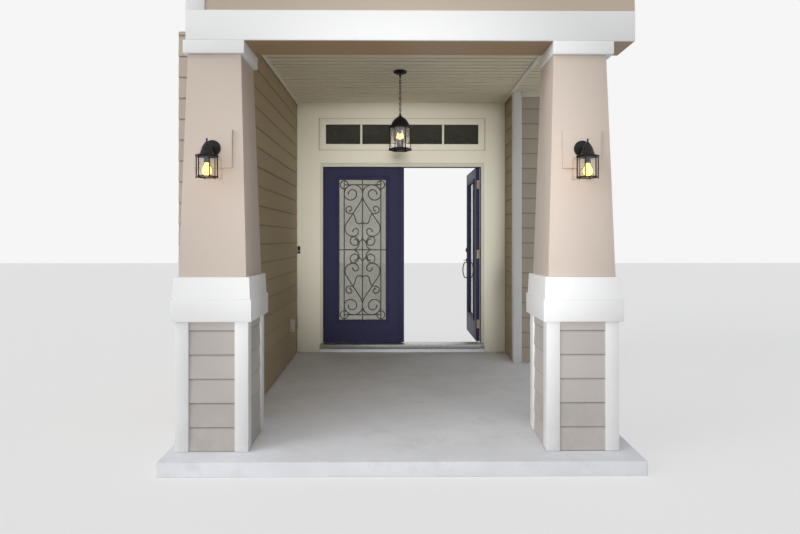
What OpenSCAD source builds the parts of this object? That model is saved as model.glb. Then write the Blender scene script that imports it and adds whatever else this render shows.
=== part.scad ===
// Entrance porch of a timber-framed house, with a double front door.
// X runs left to right as seen from the street, with 0 midway between the two columns.
// Y runs from the street into the house, with 0 at the face of the boards round the door.
// Z is up, with 0 at the level underside of the slab and the footings.

/* [Slab and footings] */
// Height of the paved floor at the front of the pedestals
slab_front_h = 100; // [80:1:150]
// Rise of the paved floor from the pedestals to the door wall
slab_rise = 95; // [30:1:120]
// Slab that shows in front of the pedestals
slab_nose = 165; // [60:1:400]
// Slab that shows to the left of the left pedestal
slab_left_lip = 60; // [0:1:150]
// Height of the concrete stem under the walls and the sill
stem_h = 240; // [225:1:300]

/* [Columns] */
// Distance between the column centres
column_pitch = 2438; // [2350:1:2700]
// Distance from the fronts of the pedestals to the door wall
porch_depth = 2960; // [2800:1:3400]
// Outside width of a pedestal over its corner boards
pedestal_w = 480; // [450:1:520]
// Height of a pedestal, from the floor to the underside of its cap
pedestal_h = 857; // [700:1:1000]
// Width of the white corner boards
corner_board_w = 89; // [64:1:120]
// Thickness of the white corner boards
corner_board_t = 19; // [16:1:25]
// How far the corner boards stand in front of the siding
siding_setback = 7; // [4:1:10]
// Width of the flat lower band of the cap
cap_w = 528; // [500:1:580]
// Height of the flat lower band of the cap
cap_lower_h = 146; // [90:1:200]
// Height of the leaning upper band of the cap
cap_upper_h = 145; // [90:1:200]
// Width at the foot of the upper band
cap_upper_w = 509; // [490:1:525]
// How far each side of the upper band leans in
cap_lean = 6; // [0:1:12]
// Width of a shaft at its foot
shaft_foot_w = 446; // [410:1:480]
// Width of a shaft at its head
shaft_head_w = 353; // [320:1:380]
// Width of the square capital
capital_w = 404; // [390:1:430]
// Height of the square capital
capital_h = 87; // [60:1:120]
// How far the right capital stands to the right of its column's centre
right_capital_shift = 18; // [0:1:20]

/* [Beam and roof] */
// Depth of the beam from front to back
beam_w = 324; // [280:1:380]
// Height of the white fascia board
fascia_h = 198; // [150:1:230]
// Thickness of the fascia board
fascia_t = 19; // [16:1:25]
// How far the beam's left end stops short of the capital's side
beam_end_inset = 18; // [5:1:40]
// Beam and roof carried past the right capital, to the next bay
next_bay_stub = 141; // [80:1:260]
// Height of the ceiling above the underside of the beam
ceiling_rise = 248; // [220:1:300]
// Thickness of the beam's soffit board and of the ceiling panel
lining_t = 12; // [9:1:16]
// Depth of the roof joists
joist_h = 158; // [120:1:200]
// Thickness of the roof joists
joist_t = 38; // [32:1:50]
// Number of joists
joists = 6; // [4:1:8]
// Thickness of the roof deck
deck_t = 18; // [15:1:25]
// Width of the white board at the upper left corner
upper_board_w = 126; // [90:1:160]

/* [Walls] */
// Thickness of a framed wall without its boards or siding
wall_t = 95; // [89:1:140]
// Thickness of the lap siding, and of the boards round the door
siding_t = 12; // [9:1:14]
// Gap between the siding and the paved floor
siding_gap = 8; // [3:1:15]
// Distance from the porch's centre line to the siding on the left
side_wall_x = 1138; // [1100:1:1160]
// Distance from the porch's centre line to the siding of the return on the right
return_x = 1249; // [1225:1:1280]
// Depth of the return on the right
return_depth = 520; // [400:1:700]
// Gap between the pedestals and the garage wall behind them
garage_gap = 150; // [80:1:250]
// Garage wall kept beyond the left side of the porch
garage_stub = 522; // [450:1:700]

/* [Entry] */
// Thickness of the white boards round the door
board_t = 19; // [16:1:25]
// Centre of the double door, right of the porch's centre line
door_x = 66; // [40:1:90]
// Width of each door leaf
leaf_w = 914; // [860:1:914]
// Height of each door leaf
leaf_h = 2032; // [1980:1:2060]
// Thickness of each door leaf
leaf_t = 44; // [40:1:48]
// Running gap round the leaves
leaf_gap = 5; // [5:1:8]
// Thickness of the jambs and the head of the door frame
jamb_t = 30; // [28:1:36]
// Thickness of the door frame's head
head_t = 43; // [36:1:60]
// How far the door stops stand into the opening
stop_w = 10; // [8:1:14]
// Height of the sill
sill_h = 57; // [40:1:70]
// How far the sill's nosing stands in front of the boards
sill_nose = 45; // [30:1:70]
// Height of the board between the door and the transom window
header_board_h = 146; // [120:1:160]
// Height of the transom window over its frame
transom_h = 362; // [300:1:400]
// Width of the transom frame's sides
transom_side = 65; // [50:1:80]
// Width of the transom frame's top and bottom
transom_rail = 68; // [50:1:80]
// How far the boards lap over the door frame
board_lap = 10; // [6:1:16]
// Height of the board between the transom window and the ceiling
top_board_h = 184; // [140:1:240]

/* [Door lites] */
// Width of the moulded frame round each lite
lite_frame_w = 615; // [560:1:640]
// Height of the moulded frame round each lite
lite_frame_h = 1701; // [1600:1:1740]
// Width of the moulding itself
lite_moulding = 38; // [30:1:48]
// How far the moulding stands out from the leaf
lite_relief = 10; // [6:1:14]
// Door leaf left above the moulded frame
top_rail = 112; // [100:1:140]
// Thickness of each pane
pane_t = 4; // [3:1:5]
// Thickness of the wrought bars between the panes
grille_t = 8; // [6:1:10]
// Width of the wrought bars
grille_bar = 12; // [8:1:14]
// Distance from the edge of the pane to the border bars
grille_inset = 57; // [54:1:70]
// How much tighter each half turn of a scroll is than the one before
scroll_shrink = 0.68; // [0.6:0.01:0.75]

/* [Hinges and handle] */
// Height of a hinge
hinge_h = 100; // [80:5:120]
// Distance from the ends of a leaf to its outer hinges
hinge_margin = 150; // [120:5:200]
// Radius of a hinge knuckle
knuckle_r = 6.5; // [5:0.5:6.5]
// Radius of a hinge pin
pin_r = 3; // [2:0.5:4]
// Running clearance round a hinge pin
pin_clearance = 0.05; // [0.03:0.01:0.08]
// Height of the deadbolt above the sill
deadbolt_z = 1054; // [950:1:1100]
// Distance between the ends of the grip handle
grip_l = 200; // [160:1:240]
// How far the middle of the grip is below the deadbolt
grip_drop = 260; // [200:1:300]
// How far the right leaf stands open
right_open = 90; // [0:1:95]

/* [Lamps] */
// Width of the square blocks that carry the wall lanterns
block_w = 255; // [220:1:280]
// Thickness of those blocks at the middle
block_t = 22; // [18:1:35]
// Height of the blocks' centres above the front floor
block_z = 1995; // [1900:1:2100]
// Width of a wall lantern's cage
lantern_w = 146; // [120:1:160]
// Height of a wall lantern's cage
lantern_h = 138; // [120:1:180]
// Distance from the block to the middle of a wall lantern
lantern_reach = 119; // [105:1:140]
// Height of the block's centre above the brim of its lantern
lantern_drop = 66; // [50:1:80]
// Length of the pendant's chain
chain_l = 335; // [250:1:450]
// Width of the pendant's cage
pendant_w = 204; // [160:1:220]
// Height of the pendant's cage
pendant_h = 215; // [170:1:240]
// Distance from the pendant to the door wall
pendant_y = 1300; // [1100:1:1500]
// Distance from the porch's centre line to the pendant on its right
pendant_x = 31; // [0:1:66]

/* [Hidden] */

// Plan of the porch
column_x = column_pitch / 2;
column_y = -porch_depth + pedestal_w / 2;
pedestal_front = -porch_depth;
pedestal_back = -porch_depth + pedestal_w;
slab_front = pedestal_front - slab_nose;
slab_left = -column_x - pedestal_w / 2 - slab_left_lip;
fascia_front = column_y - capital_w / 2;
beam_back = fascia_front + beam_w;
beam_left = -column_x - capital_w / 2 + beam_end_inset;
right_end = column_x + right_capital_shift + capital_w / 2 + next_bay_stub;
garage_front = pedestal_back + garage_gap;
side_face = -side_wall_x;
side_core = side_face - siding_t;
garage_left = side_face - garage_stub;
return_core = return_x + siding_t;
return_front = -return_depth;
wall_back = board_t + wall_t;

// Heights of the slab and the pedestals
slab_slope = slab_rise / porch_depth;
function floor_z(y) = slab_front_h + (y - pedestal_front) * slab_slope;
cap_z = slab_front_h + pedestal_h;
shaft_z = cap_z + cap_lower_h + cap_upper_h;

// Heights at the door, up to the ceiling
sill_top = stem_h + sill_h;
leaf_z = sill_top + leaf_gap;
head_z = leaf_z + leaf_h + leaf_gap;
frame_top = head_z + head_t;
header_z = frame_top - board_lap;
transom_z = header_z + header_board_h;
transom_top = transom_z + transom_h;
ceiling_z = transom_top + top_board_h;

// Heights of the beam and the roof, and of the shafts that reach up to the beam
beam_z = ceiling_z - ceiling_rise;
capital_z = beam_z - capital_h;
shaft_h = capital_z - shaft_z;
fascia_top = beam_z + fascia_h;
wall_top = ceiling_z + lining_t;
joist_top = wall_top + joist_h;
roof_top = joist_top + deck_t;

// Entry
opening_w = 2 * leaf_w + 3 * leaf_gap;
opening_left = door_x - opening_w / 2;
opening_right = door_x + opening_w / 2;
frame_left = opening_left - jamb_t;
frame_right = opening_right + jamb_t;
board_left = frame_left + board_lap;
board_right = frame_right - board_lap;
leaf_back = wall_back - 2;
leaf_front = leaf_back - leaf_t;
stop_back = leaf_front - leaf_gap;
hinge_y = wall_back + 8;
left_hinge_x = opening_left + leaf_gap / 2;
right_hinge_x = opening_right - leaf_gap / 2;

// A leaf's own frame: the hinge axis at 0, the leaf along +X, its street face towards -Y
leaf_near = leaf_gap / 2;
leaf_far = leaf_near + leaf_w;
leaf_mid = (leaf_near + leaf_far) / 2;
face_y = leaf_front - hinge_y;
inside_y = leaf_back - hinge_y;
lite_top = leaf_z + leaf_h - top_rail;
lite_z = lite_top - lite_frame_h;
glass_w = lite_frame_w - 2 * lite_moulding;
glass_h = lite_frame_h - 2 * lite_moulding;
glass_z = lite_z + lite_moulding;
lite_mid_z = glass_z + glass_h / 2;
sleeve_t = 12;
unit_t = 20;
grille_x = glass_w / 2 - grille_inset;
grille_z = glass_h / 2 - grille_inset;
scroll_scale = grille_x / 212.5;
line_w = 2;
hinge_plate = 2;
hinge_heights = [
    leaf_z + hinge_margin,
    leaf_z + (leaf_h - hinge_h) / 2,
    leaf_z + leaf_h - hinge_margin - hinge_h
];
knuckles = 5;
knuckle_gap = 0.4;
knuckle_h = (hinge_h - (knuckles - 1) * knuckle_gap) / knuckles;

// Joined planes of the walls
garage_core = garage_front + siding_t;
return_core_y = return_front + siding_t;
trim_proud = board_t - siding_t;
core_w = pedestal_w - 2 * corner_board_t;
siding_w = pedestal_w - 2 * siding_setback;
panel_w = pedestal_w - 2 * corner_board_w;
below = 10;
moulding_h = 30;
divider_w = 45;
divider_t = 14;
frieze_h = 57;

// Chain of the pendant, and the loops that it hangs between
canopy_h = 30;
canopy_w = 122;
drop_rod = 54;
chain_top = ceiling_z - canopy_h - drop_rod;
link_l = 38;
link_wire = 3;
link_half_w = 7.5;
link_slack = 0.3;
link_pitch = link_l - 4 * link_wire - link_slack;
links = floor((chain_l - link_l) / link_pitch) + 1;
chain_foot = chain_top - (links - 1) * link_pitch - link_l;
loop_past_link = 2 * link_half_w - 3 * link_wire - link_slack;

// Lantern roofs, as radius and height in parts of the cage's radius and the roof's height
dome = [[0, 0], [1.08, 0], [1.08, 0.04], [0.92, 0.07], [0.85, 0.14], [0.81, 0.26], [0.73, 0.4],
    [0.62, 0.54], [0.49, 0.67], [0.36, 0.76], [0.22, 0.83], [0.12, 0.91], [0.09, 1], [0, 1]];
bell = [[0, 0], [1, 0], [1, 0.03], [0.6, 0.13], [0.56, 0.24], [0.49, 0.4], [0.42, 0.59],
    [0.3, 0.76], [0.15, 0.93], [0.07, 1], [0, 1]];
dome_h = 117;
bell_h = 93;
finial_h = 24;
ring_h = 8;
ring_w = 10;
base_h = 18;
base_flare = 8;
base_lip = 2;
post_r = 4;
post_inset = 5.2;
foot_r = 5;
pane_inset = 12;
lamp_glass_t = 2;
candle_h = 105;
candle_r = 10;
candle_out = 24;
socket_h = 45;
socket_r = 15;
pendant_z = chain_foot - loop_past_link + 1 - dome_h - pendant_h;

// Wall lanterns and the blocks that carry them
lamp_block_z = slab_front_h + block_z;
function shaft_face(z) = column_y - shaft_foot_w / 2
    + (shaft_foot_w - shaft_head_w) / 2 * (z - shaft_z) / shaft_h;
block_seat = 0.3;
block_front = shaft_face(lamp_block_z) - block_t;
lamp_y = block_front - lantern_reach;
lamp_z = lamp_block_z - lantern_drop - lantern_h;

// A box from its lowest corner to its highest one
module box(low, high) {
    translate(low) cube(high - low);
}

// An outline in Y and Z, extruded along X from one place to another
module along_x(from, to) {
    translate([from, 0, 0]) rotate([90, 0, 90]) linear_extrude(to - from) children();
}

// Puts a copy at each column
module at_columns() {
    for (side = [-1, 1]) translate([side * column_x, column_y, 0]) children();
}

// Keeps what stands above the sloping floor, a gap over it, up to a height
module above_floor(gap, top) {
    intersection() {
        children();
        along_x(garage_left - below, right_end + below) polygon([
            [slab_front, floor_z(slab_front) + gap],
            [board_t, floor_z(board_t) + gap],
            [board_t, top],
            [slab_front, top]
        ]);
    }
}

// An L of two boards round a corner at the origin, running towards +X and +Y
module corner_l(width, thickness) {
    difference() {
        square(width);
        translate([thickness, thickness]) square(width);
    }
}

module porch_slab() {
    color([0.66, 0.66, 0.65]) intersection() {
        along_x(slab_left, right_end) polygon([
            [slab_front, 0],
            [board_t, 0],
            [board_t, floor_z(board_t)],
            [slab_front, floor_z(slab_front)]
        ]);
        linear_extrude(stem_h) polygon([
            [slab_left, slab_front],
            [right_end, slab_front],
            [right_end, return_core_y],
            [return_core, return_core_y],
            [return_core, board_t],
            [side_core, board_t],
            [side_core, garage_core],
            [slab_left, garage_core]
        ]);
    }
}

module foundation_stem() {
    color([0.6, 0.6, 0.58]) linear_extrude(stem_h) polygon([
        [garage_left, garage_core],
        [side_core, garage_core],
        [side_core, board_t],
        [return_core, board_t],
        [return_core, return_core_y],
        [right_end, return_core_y],
        [right_end, return_core_y + wall_t],
        [return_core + wall_t, return_core_y + wall_t],
        [return_core + wall_t, wall_back],
        [side_core - wall_t, wall_back],
        [side_core - wall_t, garage_core + wall_t],
        [garage_left, garage_core + wall_t]
    ]);
}

module pedestals() {
    color([0.70, 0.66, 0.62]) above_floor(0, cap_z) at_columns() linear_extrude(cap_z) {
        square(core_w, center = true);
        square([siding_w, panel_w], center = true);
        square([panel_w, siding_w], center = true);
    }
}

// White L boards on every corner of the pedestals, the walls and the upper wall
module corner_boards() {
    color([0.93, 0.93, 0.92]) {
        above_floor(siding_gap / 2, cap_z) at_columns() for (turn = [0:90:270])
            rotate(turn) translate([-pedestal_w / 2, -pedestal_w / 2, 0])
                linear_extrude(cap_z) corner_l(corner_board_w, corner_board_t);
        above_floor(siding_gap / 2, ceiling_z)
            translate([side_face + trim_proud, garage_front - trim_proud, 0])
                mirror([1, 0, 0]) linear_extrude(wall_top) corner_l(corner_board_w, board_t);
        above_floor(siding_gap / 2, ceiling_z)
            translate([return_x - trim_proud, return_front - trim_proud, 0])
                linear_extrude(wall_top) corner_l(corner_board_w, board_t);
        translate([beam_left, fascia_front, fascia_top])
            linear_extrude(joist_top - fascia_top) corner_l(upper_board_w, fascia_t);
    }
}

// The cap of each pedestal: a flat band, and a band that leans in above it
module pedestal_caps() {
    color([0.93, 0.93, 0.92]) at_columns() translate([0, 0, cap_z]) {
        linear_extrude(cap_lower_h) square(cap_w, center = true);
        translate([0, 0, cap_lower_h])
            linear_extrude(cap_upper_h, scale = (cap_upper_w - 2 * cap_lean) / cap_upper_w)
                square(cap_upper_w, center = true);
    }
}

module column_shafts() {
    color([0.80, 0.74, 0.70]) at_columns() translate([0, 0, shaft_z])
        linear_extrude(shaft_h, scale = shaft_head_w / shaft_foot_w)
            square(shaft_foot_w, center = true);
}

module capitals() {
    color([0.93, 0.93, 0.92]) for (x = [-column_x, column_x + right_capital_shift])
        translate([x, column_y, capital_z])
            linear_extrude(capital_h) square(capital_w, center = true);
}

module beam_core() {
    color([0.75, 0.62, 0.45]) box(
        [beam_left + fascia_t, fascia_front + fascia_t, beam_z + lining_t],
        [right_end, beam_back, wall_top]
    );
}

module beam_soffit() {
    color([0.62, 0.53, 0.44]) box(
        [beam_left + fascia_t, fascia_front + fascia_t, beam_z],
        [right_end, beam_back, beam_z + lining_t]
    );
}

module beam_fascia() {
    color([0.93, 0.93, 0.92]) translate([0, 0, beam_z]) linear_extrude(fascia_h) polygon([
        [beam_left, fascia_front],
        [right_end, fascia_front],
        [right_end, fascia_front + fascia_t],
        [beam_left + fascia_t, fascia_front + fascia_t],
        [beam_left + fascia_t, beam_back],
        [beam_left, beam_back]
    ]);
}

// Siding of the wall above the beam, on its front and round its left end
module upper_siding() {
    front_y = fascia_front + fascia_t;
    left_x = beam_left + fascia_t;
    color([0.70, 0.66, 0.62]) {
        box([beam_left + upper_board_w, front_y - siding_t, fascia_top], [right_end, front_y, joist_top]);
        box([left_x - siding_t, fascia_front + upper_board_w, fascia_top], [left_x, beam_back, joist_top]);
        box([left_x - siding_t, beam_back, wall_top], [left_x, wall_back, joist_top]);
    }
}

module ceiling_panel() {
    left_x = beam_left + fascia_t;
    color([0.86, 0.88, 0.82]) translate([0, 0, ceiling_z]) linear_extrude(lining_t) polygon([
        [left_x, beam_back],
        [right_end, beam_back],
        [right_end, return_core_y],
        [return_core, return_core_y],
        [return_core, board_t],
        [side_core, board_t],
        [side_core, garage_core],
        [left_x, garage_core]
    ]);
}

// Moulding along the side wall, strip along the edge of the next ceiling, frieze on the front wall
module ceiling_trim() {
    frieze_left = return_x - trim_proud + corner_board_w;
    color([0.92, 0.91, 0.86]) {
        box(
            [side_face, garage_front - trim_proud + corner_board_w, ceiling_z - moulding_h],
            [side_face + board_t, 0, ceiling_z]
        );
        box(
            [return_x - divider_w, beam_back, ceiling_z - divider_t],
            [return_x - trim_proud, 0, ceiling_z]
        );
        box(
            [frieze_left, return_front - board_t, ceiling_z - frieze_h],
            [right_end, return_front, ceiling_z]
        );
    }
}

module roof_framing() {
    left_x = beam_left + fascia_t;
    front_y = fascia_front + fascia_t;
    pitch = (right_end - left_x - joist_t) / (joists - 1);
    color([0.80, 0.66, 0.48]) translate([0, 0, wall_top]) linear_extrude(joist_h) {
        translate([left_x, front_y]) square([right_end - left_x, joist_t]);
        translate([left_x, wall_back - joist_t]) square([right_end - left_x, joist_t]);
        for (i = [0:joists - 1])
            translate([left_x + i * pitch, front_y]) square([joist_t, wall_back - front_y]);
    }
}

module roof_deck() {
    color([0.72, 0.60, 0.44]) box(
        [beam_left + fascia_t - siding_t, fascia_front + fascia_t - siding_t, joist_top],
        [right_end, wall_back, roof_top]
    );
}

// The framed wall on the left, and the start of the wall that faces the street beside it
module garage_wall() {
    color([0.78, 0.72, 0.62]) translate([0, 0, stem_h]) linear_extrude(wall_top - stem_h) polygon([
        [garage_left, garage_core],
        [side_core, garage_core],
        [side_core, wall_back],
        [side_core - wall_t, wall_back],
        [side_core - wall_t, garage_core + wall_t],
        [garage_left, garage_core + wall_t]
    ]);
}

// The framed return on the right, and the start of the front wall beyond it
module return_wall() {
    color([0.78, 0.72, 0.62]) translate([0, 0, stem_h]) linear_extrude(wall_top - stem_h) polygon([
        [return_core, return_core_y],
        [right_end, return_core_y],
        [right_end, return_core_y + wall_t],
        [return_core + wall_t, return_core_y + wall_t],
        [return_core + wall_t, wall_back],
        [return_core, wall_back]
    ]);
}

module wall_siding() {
    reach = corner_board_w - trim_proud;
    color([0.66, 0.58, 0.50]) {
        above_floor(siding_gap, ceiling_z)
            box([side_core, garage_front + reach, 0], [side_face, 0, wall_top]);
        above_floor(siding_gap, ceiling_z)
            box([garage_left, garage_front, 0], [side_face - reach, garage_core, wall_top]);
        above_floor(siding_gap, ceiling_z)
            box([return_x, return_front + reach, 0], [return_core, 0, wall_top]);
        above_floor(siding_gap, ceiling_z)
            box([return_x + reach, return_front, 0], [right_end, return_core_y, wall_top]);
    }
}

module entry_wall_sides() {
    color([0.78, 0.72, 0.62]) {
        box([side_core, board_t, stem_h], [frame_left, wall_back, wall_top]);
        box([frame_right, board_t, stem_h], [return_core, wall_back, wall_top]);
    }
}

// The wall over the door, and over the transom window
module entry_wall_header() {
    color([0.78, 0.72, 0.62]) {
        box([frame_left, board_t, frame_top], [frame_right, wall_back, transom_z]);
        box([frame_left, board_t, transom_top], [frame_right, wall_back, wall_top]);
    }
}

// White boards beside the door, and over and under the transom window
module entry_boards() {
    color([0.93, 0.92, 0.87]) above_floor(siding_gap, ceiling_z) difference() {
        box([side_face, 0, 0], [return_x, board_t, ceiling_z]);
        box([board_left, -below, -below], [board_right, board_t + below, header_z]);
        box([board_left, -below, transom_z], [board_right, board_t + below, transom_top]);
    }
}

// Jambs and head, each with the stop that the leaves close against
module door_frame() {
    module cross_section() {
        square([jamb_t, wall_t]);
        square([jamb_t + stop_w, stop_back - board_t]);
    }
    color([0.55, 0.55, 0.58]) {
        translate([frame_left, board_t, sill_top])
            linear_extrude(frame_top - sill_top) cross_section();
        translate([frame_right, board_t, sill_top])
            mirror([1, 0, 0]) linear_extrude(frame_top - sill_top) cross_section();
        box([opening_left, board_t, head_z], [opening_right, wall_back, frame_top]);
        box([opening_left, board_t, head_z - stop_w], [opening_right, stop_back, head_z]);
    }
}

// The sill, with a nosing that falls to the street
module door_sill() {
    fall = 6;
    color([0.70, 0.70, 0.70]) {
        box([frame_left, board_t, stem_h], [frame_right, wall_back, sill_top]);
        along_x(board_left, board_right) polygon([
            [-sill_nose, stem_h],
            [board_t, stem_h],
            [board_t, sill_top],
            [-sill_nose, sill_top - fall]
        ]);
    }
}

module transom_frame() {
    proud = 5;
    color([0.93, 0.92, 0.87]) difference() {
        union() {
            box([board_left, -proud, transom_z], [board_right, board_t, transom_top]);
            box([frame_left, board_t, transom_z], [frame_right, wall_back, transom_top]);
        }
        box(
            [board_left + transom_side, -below, transom_z + transom_rail],
            [board_right - transom_side, wall_back + below, transom_top - transom_rail]
        );
    }
}

module transom_glass() {
    glass_y = board_t + unit_t;
    color([0.25, 0.27, 0.28]) box(
        [board_left + transom_side, board_t, transom_z + transom_rail],
        [board_right - transom_side, glass_y, transom_top - transom_rail]
    );
}

// Places what belongs to a leaf on its hinge axis
module at_left_hinge() {
    translate([left_hinge_x, hinge_y, 0]) children();
}

module at_right_jamb() {
    translate([right_hinge_x, hinge_y, 0]) mirror([1, 0, 0]) children();
}

module at_right_hinge() {
    translate([right_hinge_x, hinge_y, 0]) rotate(-right_open) mirror([1, 0, 0]) children();
}

// A ring round the lite, as wide as its clear opening plus a border
module lite_ring(border, y_low, y_high) {
    difference() {
        box(
            [leaf_mid - glass_w / 2 - border, y_low, glass_z - border],
            [leaf_mid + glass_w / 2 + border, y_high, glass_z + glass_h + border]
        );
        box(
            [leaf_mid - glass_w / 2, y_low - below, glass_z],
            [leaf_mid + glass_w / 2, y_high + below, glass_z + glass_h]
        );
    }
}

module leaf_slab() {
    difference() {
        box([leaf_near, face_y, leaf_z], [leaf_far, inside_y, leaf_z + leaf_h]);
        box(
            [leaf_mid - glass_w / 2 - sleeve_t, face_y - below, glass_z - sleeve_t],
            [leaf_mid + glass_w / 2 + sleeve_t, inside_y + below, glass_z + glass_h + sleeve_t]
        );
    }
}

// The moulded frame that clamps the lite from both faces of the leaf
module lite_frame() {
    lite_ring(lite_moulding, face_y - lite_relief, face_y);
    lite_ring(lite_moulding, inside_y, inside_y + lite_relief);
    lite_ring(sleeve_t, face_y, inside_y);
}

// Two panes, with the wrought bars in the space between them
module lite_panes() {
    middle = (face_y + inside_y) / 2;
    for (low = [middle - unit_t / 2, middle + unit_t / 2 - pane_t]) box(
        [leaf_mid - glass_w / 2, low, glass_z],
        [leaf_mid + glass_w / 2, low + pane_t, glass_z + glass_h]
    );
}

// The wrought panel is drawn in thin lines, which offset() then thickens to bars and welds.
// An arc of line round the origin, in finer steps where it is wide
module arc(radius, from, sweep) {
    steps = ceil(sweep * sqrt(radius) / 100);
    angles = [for (i = [0:steps]) from + sweep * i / steps];
    polygon([
        for (a = angles) (radius - line_w / 2) * [cos(a), sin(a)],
        for (i = [steps:-1:0]) (radius + line_w / 2) * [cos(angles[i]), sin(angles[i])]
    ]);
}

// A straight line
module line(low, high) {
    half = [line_w / 2, line_w / 2];
    translate(low - half) square(high - low + 2 * half);
}

// A round knot where scrolls are welded together
module knot(at) {
    translate(at * scroll_scale) circle(r = 0.4 * grille_bar, $fn = 20);
}

// A scroll that leaves the origin along +Y and ends in a round eye. A bend is its radius and
// how far it turns: right at first, the other side from a negative radius on, 0 is straight
module scroll(bends, i = 0) {
    radius = abs(bends[i][0]) * scroll_scale;
    turn = bends[i][1];
    reach = turn == 0 ? [0, radius] : [radius * (1 - cos(turn)), radius * sin(turn)];
    mirror([bends[i][0] < 0 ? 1 : 0, 0, 0]) {
        if (turn == 0) line([0, 0], [0, radius]);
        else translate([radius, 0]) arc(radius, 180 - turn, turn);
        translate(reach) rotate(-turn) {
            if (i < len(bends) - 1) scroll(bends, i + 1);
            else circle(r = 0.35 * grille_bar, $fn = 20);
        }
    }
}

// The scrolls of one quarter of the lite, between its middle bar and its border
module quarter_scrolls() {
    coil = [for (i = [0:2]) [106.25 * pow(scroll_shrink, i), 180]];
    translate([0, grille_z - grille_x / 2]) scroll(coil);
    translate([0, 622] * scroll_scale) rotate(-172)
        scroll([[-180, 25.3], [292.5, 0], [-96, 123.3], [60, 90], [32, 180]]);
    translate([0, 322] * scroll_scale) rotate(-150)
        scroll([[-42, 135], [60, 0], [-45, 85], [-42, 180], [28, 180]]);
    translate([108, 155] * scroll_scale) rotate(-110) scroll([[54, 160], [36, 180]]);
    translate([108, 155] * scroll_scale) rotate(98)
        translate([-78, 0] * scroll_scale) arc(78 * scroll_scale, 0, 158);
    translate([0, 140] * scroll_scale) rotate(-165)
        translate([-70, 0] * scroll_scale) arc(70 * scroll_scale, 0, 50);
    for (at = [[0, 328], [108, 155], [38, 90]]) knot(at);
    translate([grille_x, grille_z]) arc(46, 0, 360);
}

// The wrought panel between the panes: border, upright, cross bar and mirrored scrolls, cut
// off where the moulded frame holds it
module grille() {
    translate([leaf_mid, (face_y + inside_y) / 2, lite_mid_z]) rotate([90, 0, 0])
        linear_extrude(grille_t, center = true) offset(delta = 1) intersection() {
            square([glass_w - 2, glass_h - 2], center = true);
            offset(delta = (grille_bar - line_w) / 2 - 1) {
                for (x = [-grille_x, 0, grille_x]) line([x, -glass_h], [x, glass_h]);
                for (y = [-grille_z, grille_z]) line([-grille_x, y], [grille_x, y]);
                line([-glass_w, 0], [glass_w, 0]);
                for (across = [0, 1], down = [0, 1])
                    mirror([across, 0, 0]) mirror([0, down, 0]) quarter_scrolls();
            }
        }
}

// Knuckles of a hinge: the even ones belong to the jamb and turn round the pin
module knuckle(i, radius) {
    translate([0, 0, i * (knuckle_h + knuckle_gap)]) cylinder(h = knuckle_h, r = radius, $fn = 32);
}

module hinge_tail(i, x_low, x_high) {
    z = i * (knuckle_h + knuckle_gap);
    box([x_low, inside_y - below, z], [x_high, 0, z + knuckle_h]);
}

module jamb_hinge() {
    plate_x = -leaf_gap / 2;
    difference() {
        union() {
            box([plate_x, face_y + below, 0], [plate_x + hinge_plate, inside_y, hinge_h]);
            for (i = [0:2:knuckles - 1]) {
                knuckle(i, knuckle_r);
                hinge_tail(i, plate_x, plate_x + hinge_plate);
            }
        }
        translate([0, 0, -below])
            cylinder(h = hinge_h + 2 * below, r = pin_r + pin_clearance, $fn = 32);
    }
}

module leaf_hinge() {
    plate_x = leaf_gap / 2;
    box([plate_x - hinge_plate, face_y + below, 0], [plate_x, inside_y, hinge_h]);
    for (i = [1:2:knuckles - 1]) {
        knuckle(i, knuckle_r);
        hinge_tail(i, plate_x - hinge_plate, plate_x);
    }
    cylinder(h = hinge_h, r = pin_r, $fn = 32);
}

module frame_hinges() {
    color([0.80, 0.65, 0.35]) for (z = hinge_heights) {
        at_left_hinge() translate([0, 0, z]) jamb_hinge();
        at_right_jamb() translate([0, 0, z]) jamb_hinge();
    }
}

module left_leaf() {
    color([0.23, 0.22, 0.33]) at_left_hinge() leaf_slab();
}

module left_lite_frame() {
    color([0.25, 0.24, 0.36]) at_left_hinge() lite_frame();
}

module left_glass() {
    color([0.75, 0.80, 0.80]) at_left_hinge() lite_panes();
}

module left_grille() {
    color([0.08, 0.08, 0.09]) at_left_hinge() grille();
}

// The T of the standing leaf, which the other leaf closes against from inside
module astragal() {
    lap = 25;
    body_w = 30;
    body_t = 12;
    color([0.20, 0.22, 0.42]) at_left_hinge() translate([0, 0, leaf_z])
        linear_extrude(leaf_h - stop_w - leaf_gap) {
            translate([leaf_far - body_w, face_y - body_t]) square([body_w, body_t]);
            translate([leaf_far, face_y - body_t]) square([lap, body_t - leaf_gap]);
        }
}

module left_hinges() {
    color([0.80, 0.65, 0.35]) for (z = hinge_heights) at_left_hinge() translate([0, 0, z]) leaf_hinge();
}

module right_leaf() {
    color([0.23, 0.22, 0.33]) at_right_hinge() leaf_slab();
}

module right_lite_frame() {
    color([0.25, 0.24, 0.36]) at_right_hinge() lite_frame();
}

module right_glass() {
    color([0.75, 0.80, 0.80]) at_right_hinge() lite_panes();
}

module right_grille() {
    color([0.08, 0.08, 0.09]) at_right_hinge() grille();
}

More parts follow.
